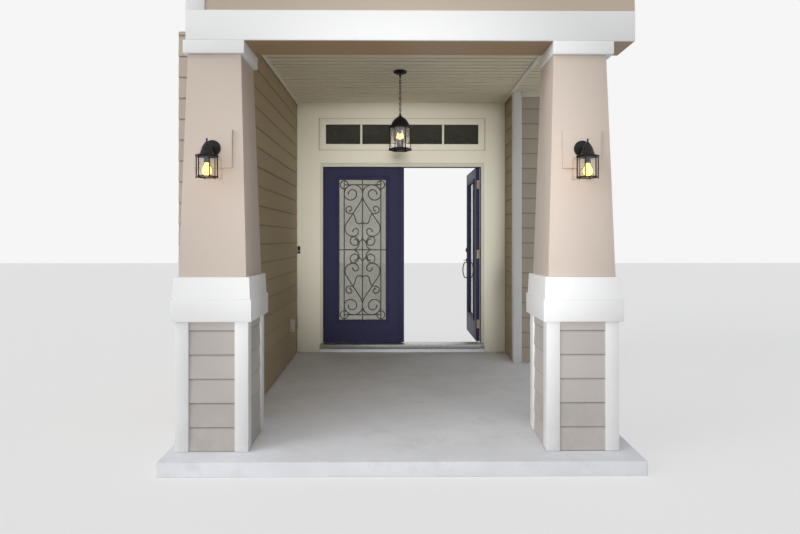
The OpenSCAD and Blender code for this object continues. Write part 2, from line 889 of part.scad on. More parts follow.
// Deadbolt and grip handle on the street face, deadbolt turn and knob inside
module handleset() {
    backset = 60;
    rose_r = 31;
    rose_t = 12;
    post_l = 34;
    grip_t = 12;
    grip_w = 20;
    grip_bow = 22;
    bow_r = (pow(grip_l / 2, 2) + pow(grip_bow, 2)) / (2 * grip_bow);
    bow_angle = asin(grip_l / 2 / bow_r);
    knob = [[0, 0], [30, 0], [30, 8], [11, 12], [11, 30], [24, 38], [28, 50], [22, 62], [0, 66]];
    bolt_z = sill_top + deadbolt_z;
    grip_z = bolt_z - grip_drop;
    module on_street(z) {
        translate([leaf_far - backset, face_y, z]) rotate([90, 0, 0]) children();
    }
    module on_inside(z) {
        translate([leaf_far - backset, inside_y, z]) rotate([-90, 0, 0]) children();
    }
    color([0.45, 0.42, 0.38]) at_right_hinge() {
        on_street(bolt_z) {
            cylinder(h = rose_t, r = rose_r, $fn = 40);
            cylinder(h = rose_t + 8, r = rose_r * 0.6, $fn = 40);
        }
        on_inside(bolt_z) {
            cylinder(h = rose_t, r = rose_r, $fn = 40);
            translate([-4, -20, 0]) cube([8, 40, rose_t + 16]);
        }
        on_street(grip_z) {
            translate([-rose_r, grip_l / 2 - rose_r, 0]) cube([2 * rose_r, 2.6 * rose_r, rose_t / 2]);
            translate([0, grip_l / 2 + 30, 0]) cylinder(h = rose_t + 6, r = 15, $fn = 40);
            translate([-12, grip_l / 2 + 24, rose_t]) cube([24, 8, 34]);
            translate([0, -grip_l / 2, 0]) cylinder(h = rose_t / 2, r = 20, $fn = 40);
            for (end = [-1, 1]) translate([0, end * grip_l / 2, 0]) cylinder(h = post_l, r = 7, $fn = 24);
            translate([0, 0, post_l + grip_bow - bow_r]) rotate([0, -90, 0]) rotate(-bow_angle)
                rotate_extrude(angle = 2 * bow_angle, $fn = 128)
                    translate([bow_r - grip_t / 2, -grip_w / 2]) square([grip_t, grip_w]);
        }
        on_inside(grip_z + grip_l / 2) rotate_extrude($fn = 40) polygon(knob);
    }
}

module right_hinges() {
    color([0.80, 0.65, 0.35]) for (z = hinge_heights) at_right_hinge() translate([0, 0, z]) leaf_hinge();
}

// A steel link standing in X and Z, centred on the origin
module chain_link(length, wire_r, half_w) {
    straight = length / 2 - wire_r - half_w;
    for (side = [-1, 1]) {
        translate([side * half_w, 0, -straight]) cylinder(h = 2 * straight, r = wire_r, $fn = 16);
        translate([0, 0, side * straight]) rotate([90, 0, 0]) rotate(side > 0 ? 0 : 180)
            rotate_extrude(angle = 180, $fn = 32) translate([half_w, 0]) circle(wire_r, $fn = 16);
    }
}

// A closed ring of wire in X and Z, centred on the origin
module wire_loop(wire_r, radius) {
    rotate([90, 0, 0]) rotate_extrude($fn = 32) translate([radius, 0]) circle(wire_r, $fn = 16);
}

// A six-sided ring, as wide as given at its foot and at its top
module hex_ring(width, height, foot_out, top_out) {
    difference() {
        cylinder(h = height, d1 = width + 2 * foot_out, d2 = width + 2 * top_out, $fn = 6);
        cylinder(h = height, d = width - 2 * ring_w, $fn = 6);
    }
}

// A six-sided cage: two rings, six posts and a small foot under each post
module cage(width, height, foot_h, flare, lip) {
    hex_ring(width, foot_h, flare, lip);
    translate([0, 0, height - ring_h]) hex_ring(width, ring_h, 0, 0);
    for (side = [0:60:300]) rotate(side) translate([width / 2 - post_inset, 0, 0]) {
        cylinder(h = height, r = post_r, $fn = 24);
        translate([0, 0, -foot_r]) cylinder(h = foot_r, r1 = foot_r * 0.4, r2 = foot_r, $fn = 24);
    }
}

// The roof over a cage, turned from one of the profiles
module lamp_roof(profile, width, rise) {
    rotate_extrude($fn = 48) polygon([for (p = profile) [p.x * width / 2, p.y * rise]]);
}

// The glass inside a cage, one pane to each side
module panes(width, height) {
    outer = width - 2 * pane_inset;
    difference() {
        cylinder(h = height, d = outer, $fn = 6);
        cylinder(h = height, d = outer - 2 * lamp_glass_t, $fn = 6);
    }
}

// Places what belongs to the pendant: 0 is the underside of its cage
module at_pendant() {
    translate([pendant_x, -pendant_y, pendant_z]) children();
}

module at_wall_lamps() {
    for (side = [-1, 1]) translate([side * column_x, lamp_y, lamp_z]) children();
}

// Places what belongs to each of the pendant's three candles
module at_candles() {
    for (turn = [90:120:330]) rotate(turn) translate([candle_out, 0, 0]) children();
}

// Canopy, rod with its loop, and chain
module pendant_stem() {
    rod_foot = chain_top + loop_past_link - 1;
    color([0.10, 0.09, 0.09]) translate([pendant_x, -pendant_y, 0]) {
        translate([0, 0, ceiling_z - canopy_h]) {
            cylinder(h = 12, d1 = canopy_w - 40, d2 = canopy_w, $fn = 6);
            translate([0, 0, 12]) cylinder(h = canopy_h - 12, d = canopy_w, $fn = 6);
        }
        translate([0, 0, rod_foot])
            cylinder(h = ceiling_z - canopy_h - rod_foot, r1 = 4, r2 = 11, $fn = 32);
        translate([0, 0, chain_top + loop_past_link - link_half_w])
            rotate(90) wire_loop(link_wire, link_half_w);
        for (i = [0:links - 1])
            translate([0, 0, chain_top - link_l / 2 - i * link_pitch]) rotate(90 * (i % 2))
                chain_link(link_l, link_wire, link_half_w);
    }
}

// Cage, domed roof with the loop on it, and the bottom plate with three candle tubes
module pendant_lantern() {
    roof_z = pendant_h + dome_h;
    spoke_l = pendant_w - 2 * post_inset;
    spoke_w = 7;
    color([0.10, 0.09, 0.09]) at_pendant() {
        cage(pendant_w, pendant_h, base_h, base_flare, base_lip);
        translate([0, 0, pendant_h]) lamp_roof(dome, pendant_w, dome_h);
        translate([0, 0, roof_z - 1 + link_half_w]) rotate(90 * (links % 2))
            wire_loop(link_wire, link_half_w);
        for (turn = [0:60:120]) rotate(turn)
            translate([-spoke_l / 2, -spoke_w / 2, base_h / 3]) cube([spoke_l, spoke_w, base_h / 3]);
        cylinder(h = base_h + 8, r = 1.6 * candle_out, $fn = 40);
        at_candles() cylinder(h = candle_h, r = candle_r, $fn = 24);
    }
}

// Painted blocks on the shafts, with their backs cut to the shafts' slope
module lantern_blocks() {
    low = lamp_block_z - block_w / 2;
    high = lamp_block_z + block_w / 2;
    function seat(z) = shaft_face(z) - block_seat;
    color([0.80, 0.74, 0.70]) for (side = [-1, 1])
        along_x(side * column_x - block_w / 2, side * column_x + block_w / 2) polygon([
            [block_front, low],
            [seat(low), low],
            [seat(high), high],
            [block_front, high]
        ]);
}

// A wall lantern: backplate, arm, cage, bell roof with its finial, and the socket under it
module wall_lanterns() {
    plate = [[0, 0], [54, 0], [54, 5], [48, 9], [24, 14], [0, 16]];
    finial = [[0, 0], [6, 0], [6, 3], [3, 6], [7, 12], [5, 18], [1, finial_h], [0, finial_h]];
    color([0.10, 0.09, 0.09]) at_wall_lamps() {
        cage(lantern_w, lantern_h, ring_h, 0, 0);
        translate([0, 0, lantern_h]) lamp_roof(bell, lantern_w, bell_h);
        translate([0, 0, lantern_h + bell_h - 1]) rotate_extrude($fn = 32) polygon(finial);
        translate([0, 0, lantern_h - socket_h]) cylinder(h = socket_h, r = socket_r, $fn = 32);
        translate([0, lantern_reach, lantern_h + lantern_drop]) rotate([90, 0, 0]) {
            rotate_extrude($fn = 48) polygon(plate);
            cylinder(h = lantern_reach, r = 9, $fn = 32);
        }
    }
}

module lamp_glass() {
    color([0.85, 0.88, 0.88]) {
        at_pendant() translate([0, 0, base_h]) panes(pendant_w, pendant_h - base_h);
        at_wall_lamps() translate([0, 0, ring_h]) panes(lantern_w, lantern_h - ring_h);
    }
}

// Flame bulbs on the pendant's candles, and a round bulb hanging in each wall lantern
module lamp_bulbs() {
    flame = [[0, 0], [7, 0], [13, 16], [9, 40], [3, 56], [0, 60]];
    round_bulb = [[0, 0], [14, 2], [25, 12], [30, 29], [27, 44], [17, 62], [13, 80], [0, 80]];
    color([0.95, 0.80, 0.55]) {
        at_pendant() at_candles() translate([0, 0, candle_h]) rotate_extrude($fn = 24) polygon(flame);
        at_wall_lamps() translate([0, 0, lantern_h - socket_h - 80])
            rotate_extrude($fn = 32) polygon(round_bulb);
    }
}

// Doorbell beside the door, and a covered outlet low on the side wall
module wall_fittings() {
    bell_w = 30;
    bell_t = 20;
    bell_h = 85;
    bell_z = 1330;
    bell_inset = 6;
    outlet_w = 80;
    outlet_t = 45;
    outlet_h = 140;
    outlet_y = -500;
    outlet_z = 505;
    color([0.15, 0.15, 0.15]) translate([side_face + bell_inset, -bell_t, bell_z])
        cube([bell_w, bell_t, bell_h]);
    color([0.85, 0.82, 0.75]) translate([side_face, outlet_y, outlet_z])
        cube([outlet_t, outlet_w, outlet_h]);
}

porch_slab();
foundation_stem();
pedestals();
corner_boards();
pedestal_caps();
column_shafts();
capitals();
beam_core();
beam_soffit();
beam_fascia();
upper_siding();
ceiling_panel();
ceiling_trim();
roof_framing();
roof_deck();
garage_wall();
return_wall();
wall_siding();
entry_wall_sides();
entry_wall_header();
entry_boards();
door_frame();
door_sill();
transom_frame();
transom_glass();
frame_hinges();
left_leaf();
left_lite_frame();
left_glass();
left_grille();
astragal();
left_hinges();
right_leaf();
right_lite_frame();
right_glass();
right_grille();
handleset();
right_hinges();
pendant_stem();
pendant_lantern();
lantern_blocks();
wall_lanterns();
lamp_glass();
lamp_bulbs();
wall_fittings();
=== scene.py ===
# %% [markdown]
# # An entrance porch
# Two tapered columns on clad pedestals carry a beam, and a ribbed ceiling runs back from it to a double front door.
# The solids of the porch are already made and are loaded as a frame. This lesson dresses them: lap siding, boards
# with soft edges, a grooved ceiling, glass, ironwork and lamps, each with a finish of its own.

# %% Load the frame
import math

import bpy
from mathutils import Matrix, Vector


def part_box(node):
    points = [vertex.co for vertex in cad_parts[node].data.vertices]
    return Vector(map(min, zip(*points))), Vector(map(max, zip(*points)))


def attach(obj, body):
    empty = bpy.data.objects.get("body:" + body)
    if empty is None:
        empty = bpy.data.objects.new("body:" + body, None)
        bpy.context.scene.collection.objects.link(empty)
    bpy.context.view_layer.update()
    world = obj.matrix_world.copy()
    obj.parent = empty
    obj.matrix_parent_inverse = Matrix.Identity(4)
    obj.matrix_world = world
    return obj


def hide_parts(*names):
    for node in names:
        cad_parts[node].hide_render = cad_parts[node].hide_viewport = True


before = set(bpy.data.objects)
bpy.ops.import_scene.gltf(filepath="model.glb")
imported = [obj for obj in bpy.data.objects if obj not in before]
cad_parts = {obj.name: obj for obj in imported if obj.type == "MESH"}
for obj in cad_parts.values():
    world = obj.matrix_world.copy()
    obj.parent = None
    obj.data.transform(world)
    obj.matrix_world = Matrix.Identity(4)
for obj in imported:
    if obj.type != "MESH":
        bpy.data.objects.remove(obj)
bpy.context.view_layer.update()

# %% [markdown]
# ## Camera
# The photographer stood in front of the porch at eye height. A horizon above the middle of the picture with upright
# lines that stay upright means a level camera with its lens shifted down, so `shift_y` is used and not a tilt.

# %% Camera
bpy.ops.object.camera_add(location=(-0.0203, -6.908, 1.5003), rotation=(math.radians(90), 0, -0.0089))
camera = bpy.context.active_object
camera.name = "street_camera"
camera.data.sensor_width = 36
camera.data.lens = 27.07
camera.data.shift_y = -0.0354
bpy.context.scene.camera = camera
print("camera:", [round(c, 3) for c in camera.location])

# %% [markdown]
# ## Helpers for modelling
# An operator acts on everything that is selected, so each helper starts by clearing the selection. A finished piece
# keeps its place in its mesh, so a new shape has its location, rotation and scale applied at once.

# %% Selection
def pick(*pieces):
    """Selects only these pieces, with the first one active."""
    if bpy.context.object and bpy.context.object.mode != "OBJECT":
        bpy.ops.object.mode_set(mode="OBJECT")
    bpy.ops.object.select_all(action="DESELECT")
    for piece in pieces:
        piece.select_set(True)
    bpy.context.view_layer.objects.active = pieces[0] if pieces else None


def edit(piece, kind="FACE"):
    """Opens a piece in edit mode with nothing selected."""
    pick(piece)
    bpy.ops.object.mode_set(mode="EDIT")
    bpy.ops.mesh.select_mode(type=kind)
    bpy.ops.mesh.select_all(action="DESELECT")


def done():
    """Goes back to object mode."""
    bpy.ops.object.mode_set(mode="OBJECT")


def settle(piece):
    """Moves a piece's place, turn and size into its mesh."""
    pick(piece)
    bpy.ops.object.transform_apply(location=True, rotation=True, scale=True)


def apply_modifier(piece, kind, **settings):
    """Adds a modifier with these settings and applies it."""
    modifier = piece.modifiers.new(kind.lower(), kind)
    for name, value in settings.items():
        setattr(modifier, name, value)
    pick(piece)
    bpy.ops.object.modifier_apply(modifier=modifier.name)


def block(name, low, high):
    """A block from its lowest to its highest corner, as a start for a piece."""
    low, high = Vector(low), Vector(high)
    pick()
    bpy.ops.mesh.primitive_cube_add(size=1, location=(low + high) / 2)
    piece = bpy.context.active_object
    piece.name = name
    piece.scale = high - low
    settle(piece)
    return piece


def joined(name, pieces):
    """Joins pieces into one mesh."""
    pick(*pieces)
    if len(pieces) > 1:
        bpy.ops.object.join()
    piece = bpy.context.active_object
    piece.name = name
    piece.data.name = name
    return piece


def copy_of(piece):
    """A copy of a piece with a mesh of its own."""
    twin = bpy.data.objects.new(piece.name + "_copy", piece.data.copy())
    bpy.context.scene.collection.objects.link(twin)
    return twin


print("modelling helpers ready")

# %% [markdown]
# ## Soft edges
# No board has a knife edge: paint and sanding round it by a millimetre or two, and that line catches the light.
# The frame's solids are made of loose triangles, so a copy is merged and its flat faces are dissolved before a
# bevel modifier rounds what is left.

# %% Copies with soft edges
def softened(node, name, radius=0.002, segments=2):
    """A copy of a solid of the frame with its edges rounded."""
    piece = copy_of(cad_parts[node])
    piece.name = name
    edit(piece, "VERT")
    bpy.ops.mesh.select_all(action="SELECT")
    bpy.ops.mesh.customdata_custom_splitnormals_clear()
    bpy.ops.mesh.remove_doubles(threshold=0.00002)
    bpy.ops.mesh.dissolve_limited(angle_limit=math.radians(1))
    done()
    apply_modifier(piece, "BEVEL", width=radius, segments=segments, limit_method="ANGLE",
                   angle_limit=math.radians(30))
    pick(piece)
    bpy.ops.object.shade_smooth_by_angle(angle=math.radians(35))
    return piece


def place(piece, body, slot, material, *nodes):
    """Gives a piece its body and material, and hides the solids that it stands for. The slot is not used."""
    piece.data.materials.clear()
    piece.data.materials.append(material)
    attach(piece, body)
    if nodes:
        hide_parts(*nodes)
    print(piece.name, "on", body, "with", len(piece.data.polygons), "faces")
    return piece


def finish_solid(node, material):
    """Gives a solid of the frame, whose shape is right, its material."""
    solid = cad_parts[node]
    solid.data.materials.clear()
    solid.data.materials.append(material)


# %% [markdown]
# ## Shared finishes
# Paint, dirt and grain turn up on many surfaces, so each is a node group that is built once. A group takes its
# numbers as inputs and gives back colours and heights. The shader itself stays in each material.

# %% A small language for node trees
def shader_group(name, inputs, outputs):
    """A node group with named sockets. Inputs are name: (socket type, default)."""
    group = bpy.data.node_groups.new(name, "ShaderNodeTree")
    for label, (kind, value) in inputs.items():
        socket = group.interface.new_socket(label, in_out="INPUT", socket_type="NodeSocket" + kind)
        socket.default_value = value
    for label, kind in outputs.items():
        group.interface.new_socket(label, in_out="OUTPUT", socket_type="NodeSocket" + kind)
    return group, group.nodes.new("NodeGroupInput"), group.nodes.new("NodeGroupOutput")


def node(tree, kind, links=None, **values):
    """Adds a node. Values set its sockets or its properties; links feed its sockets."""
    made = tree.nodes.new("ShaderNode" + kind)
    for label, value in values.items():
        if hasattr(made, label) and label not in made.inputs:
            setattr(made, label, value)
        else:
            made.inputs[label.replace("_", " ")].default_value = value
    for label, source in (links or {}).items():
        target = made.inputs[label] if isinstance(label, int) else made.inputs[label.replace("_", " ")]
        tree.links.new(source, target)
    return made


def math_node(tree, operation, first, second):
    """A Math node; each side is a socket or a number."""
    made = tree.nodes.new("ShaderNodeMath")
    made.operation = operation
    for index, side in enumerate((first, second)):
        if isinstance(side, (int, float)):
            made.inputs[index].default_value = side
        else:
            tree.links.new(side, made.inputs[index])
    return made.outputs[0]


def mixed(tree, factor, first, second, blend="MIX"):
    """Mixes two colours; each side is a socket or a colour."""
    made = tree.nodes.new("ShaderNodeMix")
    made.data_type = "RGBA"
    made.blend_type = blend
    for index, side in ((0, factor), (6, first), (7, second)):
        if hasattr(side, "is_output"):
            tree.links.new(side, made.inputs[index])
        else:
            made.inputs[index].default_value = side
    return made.outputs[2]


def noise(tree, vector, scale, detail=3.0, roughness=0.5, stretch=(1, 1, 1)):
    """Noise on object coordinates, stretched where the real pattern is."""
    mapping = node(tree, "Mapping", {"Vector": vector}, Scale=stretch)
    made = node(tree, "TexNoise", {"Vector": mapping.outputs[0]}, Scale=scale, Detail=detail, Roughness=roughness)
    return made.outputs[0]


def ramp(tree, value, low, high, to_low=0.0, to_high=1.0):
    """Stretches a value's useful range."""
    made = tree.nodes.new("ShaderNodeMapRange")
    tree.links.new(value, made.inputs["Value"])
    for label, number in (("From Min", low), ("From Max", high), ("To Min", to_low), ("To Max", to_high)):
        made.inputs[label].default_value = number
    return made.outputs[0]


print("node helpers ready")

# %% [markdown]
# ### Group: house paint
# Painted boards are never one colour: the coat is a little uneven, and dust and splashed dirt gather low down.
# The group darkens a colour by soft noise, and mixes in dirt that fades out with height over the floor.

# %% House paint
def build_house_paint():
    """Uneven paint with dirt near the floor."""
    group, into, out = shader_group(
        "house_paint",
        {"Color": ("Color", (0.8, 0.8, 0.8, 1)), "Unevenness": ("Float", 0.06), "Dirt": ("Float", 0.25),
         "Dirt Color": ("Color", (0.30, 0.25, 0.20, 1)), "Dirt Height": ("Float", 0.5)},
        {"Color": "Color", "Dirt Mask": "Float"})
    place_in = node(group, "TexCoord").outputs["Object"]
    cloud = noise(group, place_in, 1.7, 4.0)
    fine = noise(group, place_in, 38.0, 3.0)
    uneven = math_node(group, "ADD", math_node(group, "MULTIPLY", cloud, 0.7), math_node(group, "MULTIPLY", fine, 0.3))
    shade = math_node(group, "SUBTRACT", 1.0, math_node(group, "MULTIPLY", uneven, into.outputs["Unevenness"]))
    tinted = node(group, "VectorMath", {0: into.outputs["Color"]}, operation="SCALE")
    group.links.new(shade, tinted.inputs["Scale"])
    height = node(group, "SeparateXYZ", {0: place_in}).outputs[2]
    low_down = math_node(group, "SUBTRACT", 1.0, math_node(group, "DIVIDE", height, into.outputs["Dirt Height"]))
    patches = ramp(group, noise(group, place_in, 9.0, 6.0, 0.65), 0.35, 0.75)
    mask = math_node(group, "MULTIPLY", math_node(group, "MAXIMUM", low_down, 0.0), patches)
    mask = math_node(group, "MINIMUM", math_node(group, "MULTIPLY", mask, into.outputs["Dirt"]), 1.0)
    group.links.new(mixed(group, mask, tinted.outputs[0], into.outputs["Dirt Color"]), out.inputs["Color"])
    group.links.new(mask, out.inputs["Dirt Mask"])
    return group


house_paint = build_house_paint()

# %% [markdown]
# ### Group: board grain
# Fibre cement and timber carry a long grain. The pattern is noise that is stretched along the board and squeezed
# across it. It comes out as a height for a Bump node, so it shows only as light and shade.

# %% Board grain
def build_board_grain():
    """Grain that runs level, in X and in Y, as a height from 0 to 1."""
    group, into, out = shader_group(
        "board_grain", {"Fineness": ("Float", 1.0), "Brush": ("Float", 0.5)}, {"Height": "Float"})
    place_in = node(group, "TexCoord").outputs["Object"]
    scaled = node(group, "VectorMath", {0: place_in}, operation="SCALE")
    group.links.new(into.outputs["Fineness"], scaled.inputs["Scale"])
    grain = noise(group, scaled.outputs[0], 6.0, 6.0, 0.6, (0.8, 0.8, 22.0))
    brush = noise(group, scaled.outputs[0], 90.0, 2.0, 0.5, (0.15, 0.15, 1.0))
    height = math_node(group, "ADD", grain, math_node(group, "MULTIPLY", brush, into.outputs["Brush"]))
    group.links.new(height, out.inputs["Height"])
    return group


board_grain = build_board_grain()

# %% [markdown]
# ### Group: rubbed metal
# Painted and oiled metal is worn to a lighter, smoother surface in spots. The group mixes two colours by patchy
# noise and gives a roughness and a slightly dented height to match.

# %% Rubbed metal
def build_rubbed_metal():
    """Two tones of metal with matching roughness and fine dents."""
    group, into, out = shader_group(
        "rubbed_metal",
        {"Color": ("Color", (0.05, 0.04, 0.04, 1)), "Worn Color": ("Color", (0.2, 0.15, 0.1, 1)),
         "Amount": ("Float", 0.4), "Scale": ("Float", 60.0), "Roughness": ("Float", 0.45)},
        {"Color": "Color", "Roughness": "Float", "Height": "Float"})
    place_in = node(group, "TexCoord").outputs["Object"]
    scaled = node(group, "VectorMath", {0: place_in}, operation="SCALE")
    group.links.new(into.outputs["Scale"], scaled.inputs["Scale"])
    patches = ramp(group, noise(group, scaled.outputs[0], 1.0, 5.0, 0.6), 0.45, 0.75)
    worn = math_node(group, "MULTIPLY", patches, into.outputs["Amount"])
    dents = noise(group, scaled.outputs[0], 2.5, 2.0)
    group.links.new(mixed(group, worn, into.outputs["Color"], into.outputs["Worn Color"]), out.inputs["Color"])
    rough = math_node(group, "SUBTRACT", into.outputs["Roughness"], math_node(group, "MULTIPLY", worn, 0.2))
    group.links.new(rough, out.inputs["Roughness"])
    group.links.new(dents, out.inputs["Height"])
    return group


rubbed_metal = build_rubbed_metal()
print("groups:", [group.name for group in bpy.data.node_groups])

# %% [markdown]
# ## Materials for painted boards
# Siding, shafts, trim, casing and doors are all paint over a grained board, so one function makes them, each with
# its own colour, gloss and depth of grain.

# %% Painted boards
def new_material(name):
    """An empty material with its shader and output."""
    material = bpy.data.materials.new(name)
    material.use_nodes = True
    tree = material.node_tree
    tree.nodes.clear()
    shader = tree.nodes.new("ShaderNodeBsdfPrincipled")
    output = tree.nodes.new("ShaderNodeOutputMaterial")
    tree.links.new(shader.outputs[0], output.inputs[0])
    return material, tree, shader


def add_bump(tree, shader, height, strength, depth=0.001):
    """Feeds a height into the shader's normal."""
    bump = node(tree, "Bump", {"Height": height}, Strength=strength, Distance=depth)
    tree.links.new(bump.outputs[0], shader.inputs["Normal"])


def use_group(tree, group, **values):
    """Puts a shared group into a material with its own values."""
    made = tree.nodes.new("ShaderNodeGroup")
    made.node_tree = group
    for label, value in values.items():
        made.inputs[label.replace("_", " ")].default_value = value
    return made


def painted(name, color, gloss=0.5, unevenness=0.08, dirt=0.3, dirt_height=0.5, grain=0.25, fineness=1.0):
    """Paint over a grained board."""
    material, tree, shader = new_material(name)
    coat = use_group(tree, house_paint, Color=(*color, 1), Unevenness=unevenness, Dirt=dirt, Dirt_Height=dirt_height)
    fibre = use_group(tree, board_grain, Fineness=fineness)
    tree.links.new(coat.outputs["Color"], shader.inputs["Base Color"])
    rough = math_node(tree, "ADD", gloss, math_node(tree, "MULTIPLY", coat.outputs["Dirt Mask"], 0.3))
    tree.links.new(rough, shader.inputs["Roughness"])
    add_bump(tree, shader, fibre.outputs["Height"], grain)
    return material


shaft_paint = painted("shaft_paint", (0.63, 0.54, 0.47), gloss=0.55, grain=0.15)
trim_paint = painted("trim_paint", (0.88, 0.88, 0.88), gloss=0.4, unevenness=0.05, dirt=0.35, dirt_height=0.35, grain=0.1)
casing_paint = painted("casing_paint", (0.83, 0.80, 0.67), gloss=0.4, unevenness=0.05, grain=0.1)
door_paint = painted("door_paint", (0.038, 0.038, 0.084), gloss=0.5, unevenness=0.1, dirt=0.05, grain=0.12)
# The jambs get a darker copy of the casing's cream: painted shade of the recessed door frame.
shaded_jamb_paint = painted("shaded_jamb_paint", (0.66, 0.63, 0.52), gloss=0.4, unevenness=0.08, dirt=0.1, grain=0.12)
soffit_paint = painted("soffit_paint", (0.41, 0.27, 0.15), gloss=0.5, dirt=0, grain=0.15)
door_paint.node_tree.nodes["Principled BSDF"].inputs["Specular IOR Level"].default_value = 0.2
print("painted materials:", len(bpy.data.materials))

# %% [markdown]
# Inside the channels of the ribbed ceiling, above the face of the ribs, the paint is darker: painted shade, with a
# little dust. Height in object coordinates tells the two apart.

# %% Ceiling paint
def build_ceiling_paint():
    """Paint that darkens inside the channels."""
    material, tree, shader = new_material("ceiling_paint")
    coat = use_group(tree, house_paint, Color=(0.82, 0.76, 0.58, 1), Unevenness=0.03, Dirt=0.0)
    height = node(tree, "SeparateXYZ", {0: node(tree, "TexCoord").outputs["Object"]}).outputs[2]
    rib_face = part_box("ceiling_panel")[0].z
    # painted shade: the paint turns darker above the face of the ribs, inside the channels
    shade = ramp(tree, height, rib_face + 0.005, rib_face + 0.008, 1.0, 0.45)
    toned = node(tree, "VectorMath", {0: coat.outputs["Color"], "Scale": shade}, operation="SCALE")
    tree.links.new(toned.outputs[0], shader.inputs["Base Color"])
    shader.inputs["Roughness"].default_value = 0.5
    return material


ceiling_paint = build_ceiling_paint()
# Sealant darker than the casing it meets: partly painted shade along the window frame's edge.
sealant_and_shade = painted("sealant_and_shade", (0.42, 0.38, 0.27), gloss=0.5, unevenness=0.15, dirt=0, grain=0.05)

# %% [markdown]
# ## Material for lap siding
# Each course is a board of its own, so its tone differs a little from the next. The course number is the height
# divided by the exposure, rounded down, and white noise turns that number into a tone. What is left after rounding
# says how far up its board a point is, and the strip close under the next board is darker: painted shade where the
# board above overhangs. The walls inside the porch get a deeper, browner copy of the paint: painted shade under the
# porch roof.

# %% Lap siding paint
EXPOSURE = 0.15875


def siding_paint(name, color, first_course, dirt=0.25):
    """Paint over lap siding with a tone for each course."""
    material, tree, shader = new_material(name)
    coat = use_group(tree, house_paint, Color=(*color, 1), Unevenness=0.09, Dirt=dirt, Dirt_Height=0.6)
    fibre = use_group(tree, board_grain, Fineness=1.0, Brush=0.6)
    height = node(tree, "SeparateXYZ", {0: node(tree, "TexCoord").outputs["Object"]}).outputs[2]
    course = math_node(tree, "FLOOR", math_node(tree, "DIVIDE", math_node(tree, "SUBTRACT", height, first_course), EXPOSURE), 0)
    chance = node(tree, "TexWhiteNoise", {"W": course}, noise_dimensions="1D").outputs["Value"]
    shade = ramp(tree, chance, 0.0, 1.0, 0.95, 1.04)
    # painted shade: the strip close under each next board is darker
    painted_shade_under_lap = ramp(tree, math_node(tree, "FRACT", math_node(tree, "DIVIDE", math_node(
        tree, "SUBTRACT", height, first_course), EXPOSURE), 0), 0.90, 0.985, 1.0, 0.55)
    shade = math_node(tree, "MULTIPLY", shade, painted_shade_under_lap)
    toned = node(tree, "VectorMath", {0: coat.outputs["Color"], "Scale": shade}, operation="SCALE")
    tree.links.new(toned.outputs[0], shader.inputs["Base Color"])
    shader.inputs["Roughness"].default_value = 0.6
    add_bump(tree, shader, fibre.outputs["Height"], 0.45)
    return material


WALL_COURSE = 0.189
PEDESTAL_COURSE = 0.105
# The inner walls' deeper, browner copy of the siding paint is painted shade under the porch roof.
outer_paint = siding_paint("outer_siding_paint", (0.54, 0.47, 0.39), WALL_COURSE)
shaded_paint = siding_paint("shaded_siding_paint", (0.42, 0.33, 0.20), WALL_COURSE)
upper_paint = siding_paint("upper_siding_paint", (0.54, 0.45, 0.36), 3.014, dirt=0)
pedestal_paint = siding_paint("pedestal_siding_paint", (0.57, 0.53, 0.50), PEDESTAL_COURSE, dirt=0.4)
print("siding materials ready")

# %% [markdown]
# ## Materials for concrete, timber, metal and glass
# Concrete is mottled, freckled with sand and broomed across. Timber and sheathing show only from behind. Glass in
# the doors is two thin panes, so it is mostly see-through with a dark tint.

# %% Concrete
def build_concrete():
    """Broomed concrete with mottling, freckles and stains."""
    material, tree, shader = new_material("broomed_concrete")
    place_in = node(tree, "TexCoord").outputs["Object"]
    mottle = ramp(tree, noise(tree, place_in, 2.2, 6.0, 0.6), 0.3, 0.7)
    color = mixed(tree, mottle, (0.81, 0.82, 0.85, 1), (0.91, 0.92, 0.96, 1))
    freckle = ramp(tree, noise(tree, place_in, 260.0, 2.0), 0.62, 0.72, 0.0, 0.35)
    color = mixed(tree, freckle, color, (0.40, 0.39, 0.38, 1))
    stains = ramp(tree, noise(tree, place_in, 5.5, 5.0, 0.7), 0.55, 0.8, 0.0, 0.3)
    color = mixed(tree, stains, color, (0.46, 0.44, 0.41, 1))
    tree.links.new(color, shader.inputs["Base Color"])
    shader.inputs["Roughness"].default_value = 0.85
    broom = noise(tree, place_in, 60.0, 3.0, 0.5, (0.05, 1.0, 1.0))
    pits = noise(tree, place_in, 180.0, 2.0)
    add_bump(tree, shader, math_node(tree, "ADD", broom, math_node(tree, "MULTIPLY", pits, 0.6)), 0.5, 0.0015)
    return material


concrete = build_concrete()

# %% Timber and sheathing
def build_timber():
    """Sawn timber and sheathing, laid in sheets of 1.22 m with dark joints."""
    material, tree, shader = new_material("sawn_timber")
    place_in = node(tree, "TexCoord").outputs["Object"]
    fibre = noise(tree, place_in, 7.0, 6.0, 0.6, (0.35, 0.35, 9.0))
    cloud = noise(tree, place_in, 1.3, 4.0)
    color = mixed(tree, ramp(tree, fibre, 0.3, 0.7), (0.50, 0.36, 0.22, 1), (0.66, 0.52, 0.35, 1))
    color = mixed(tree, ramp(tree, cloud, 0.35, 0.7, 0.0, 0.5), color, (0.44, 0.33, 0.22, 1))
    parts = node(tree, "SeparateXYZ", {0: place_in})
    below_deck_top = math_node(tree, "LESS_THAN", parts.outputs[2], 3.25)
    depth = math_node(tree, "MULTIPLY", parts.outputs[1], below_deck_top)
    along = math_node(tree, "ADD", parts.outputs[0], depth)
    seam = math_node(tree, "LESS_THAN", math_node(tree, "PINGPONG", along, 0.61), 0.002)
    color = mixed(tree, seam, color, (0.10, 0.07, 0.05, 1))
    tree.links.new(color, shader.inputs["Base Color"])
    shader.inputs["Roughness"].default_value = 0.8
    add_bump(tree, shader, fibre, 0.3)
    return material


timber = build_timber()

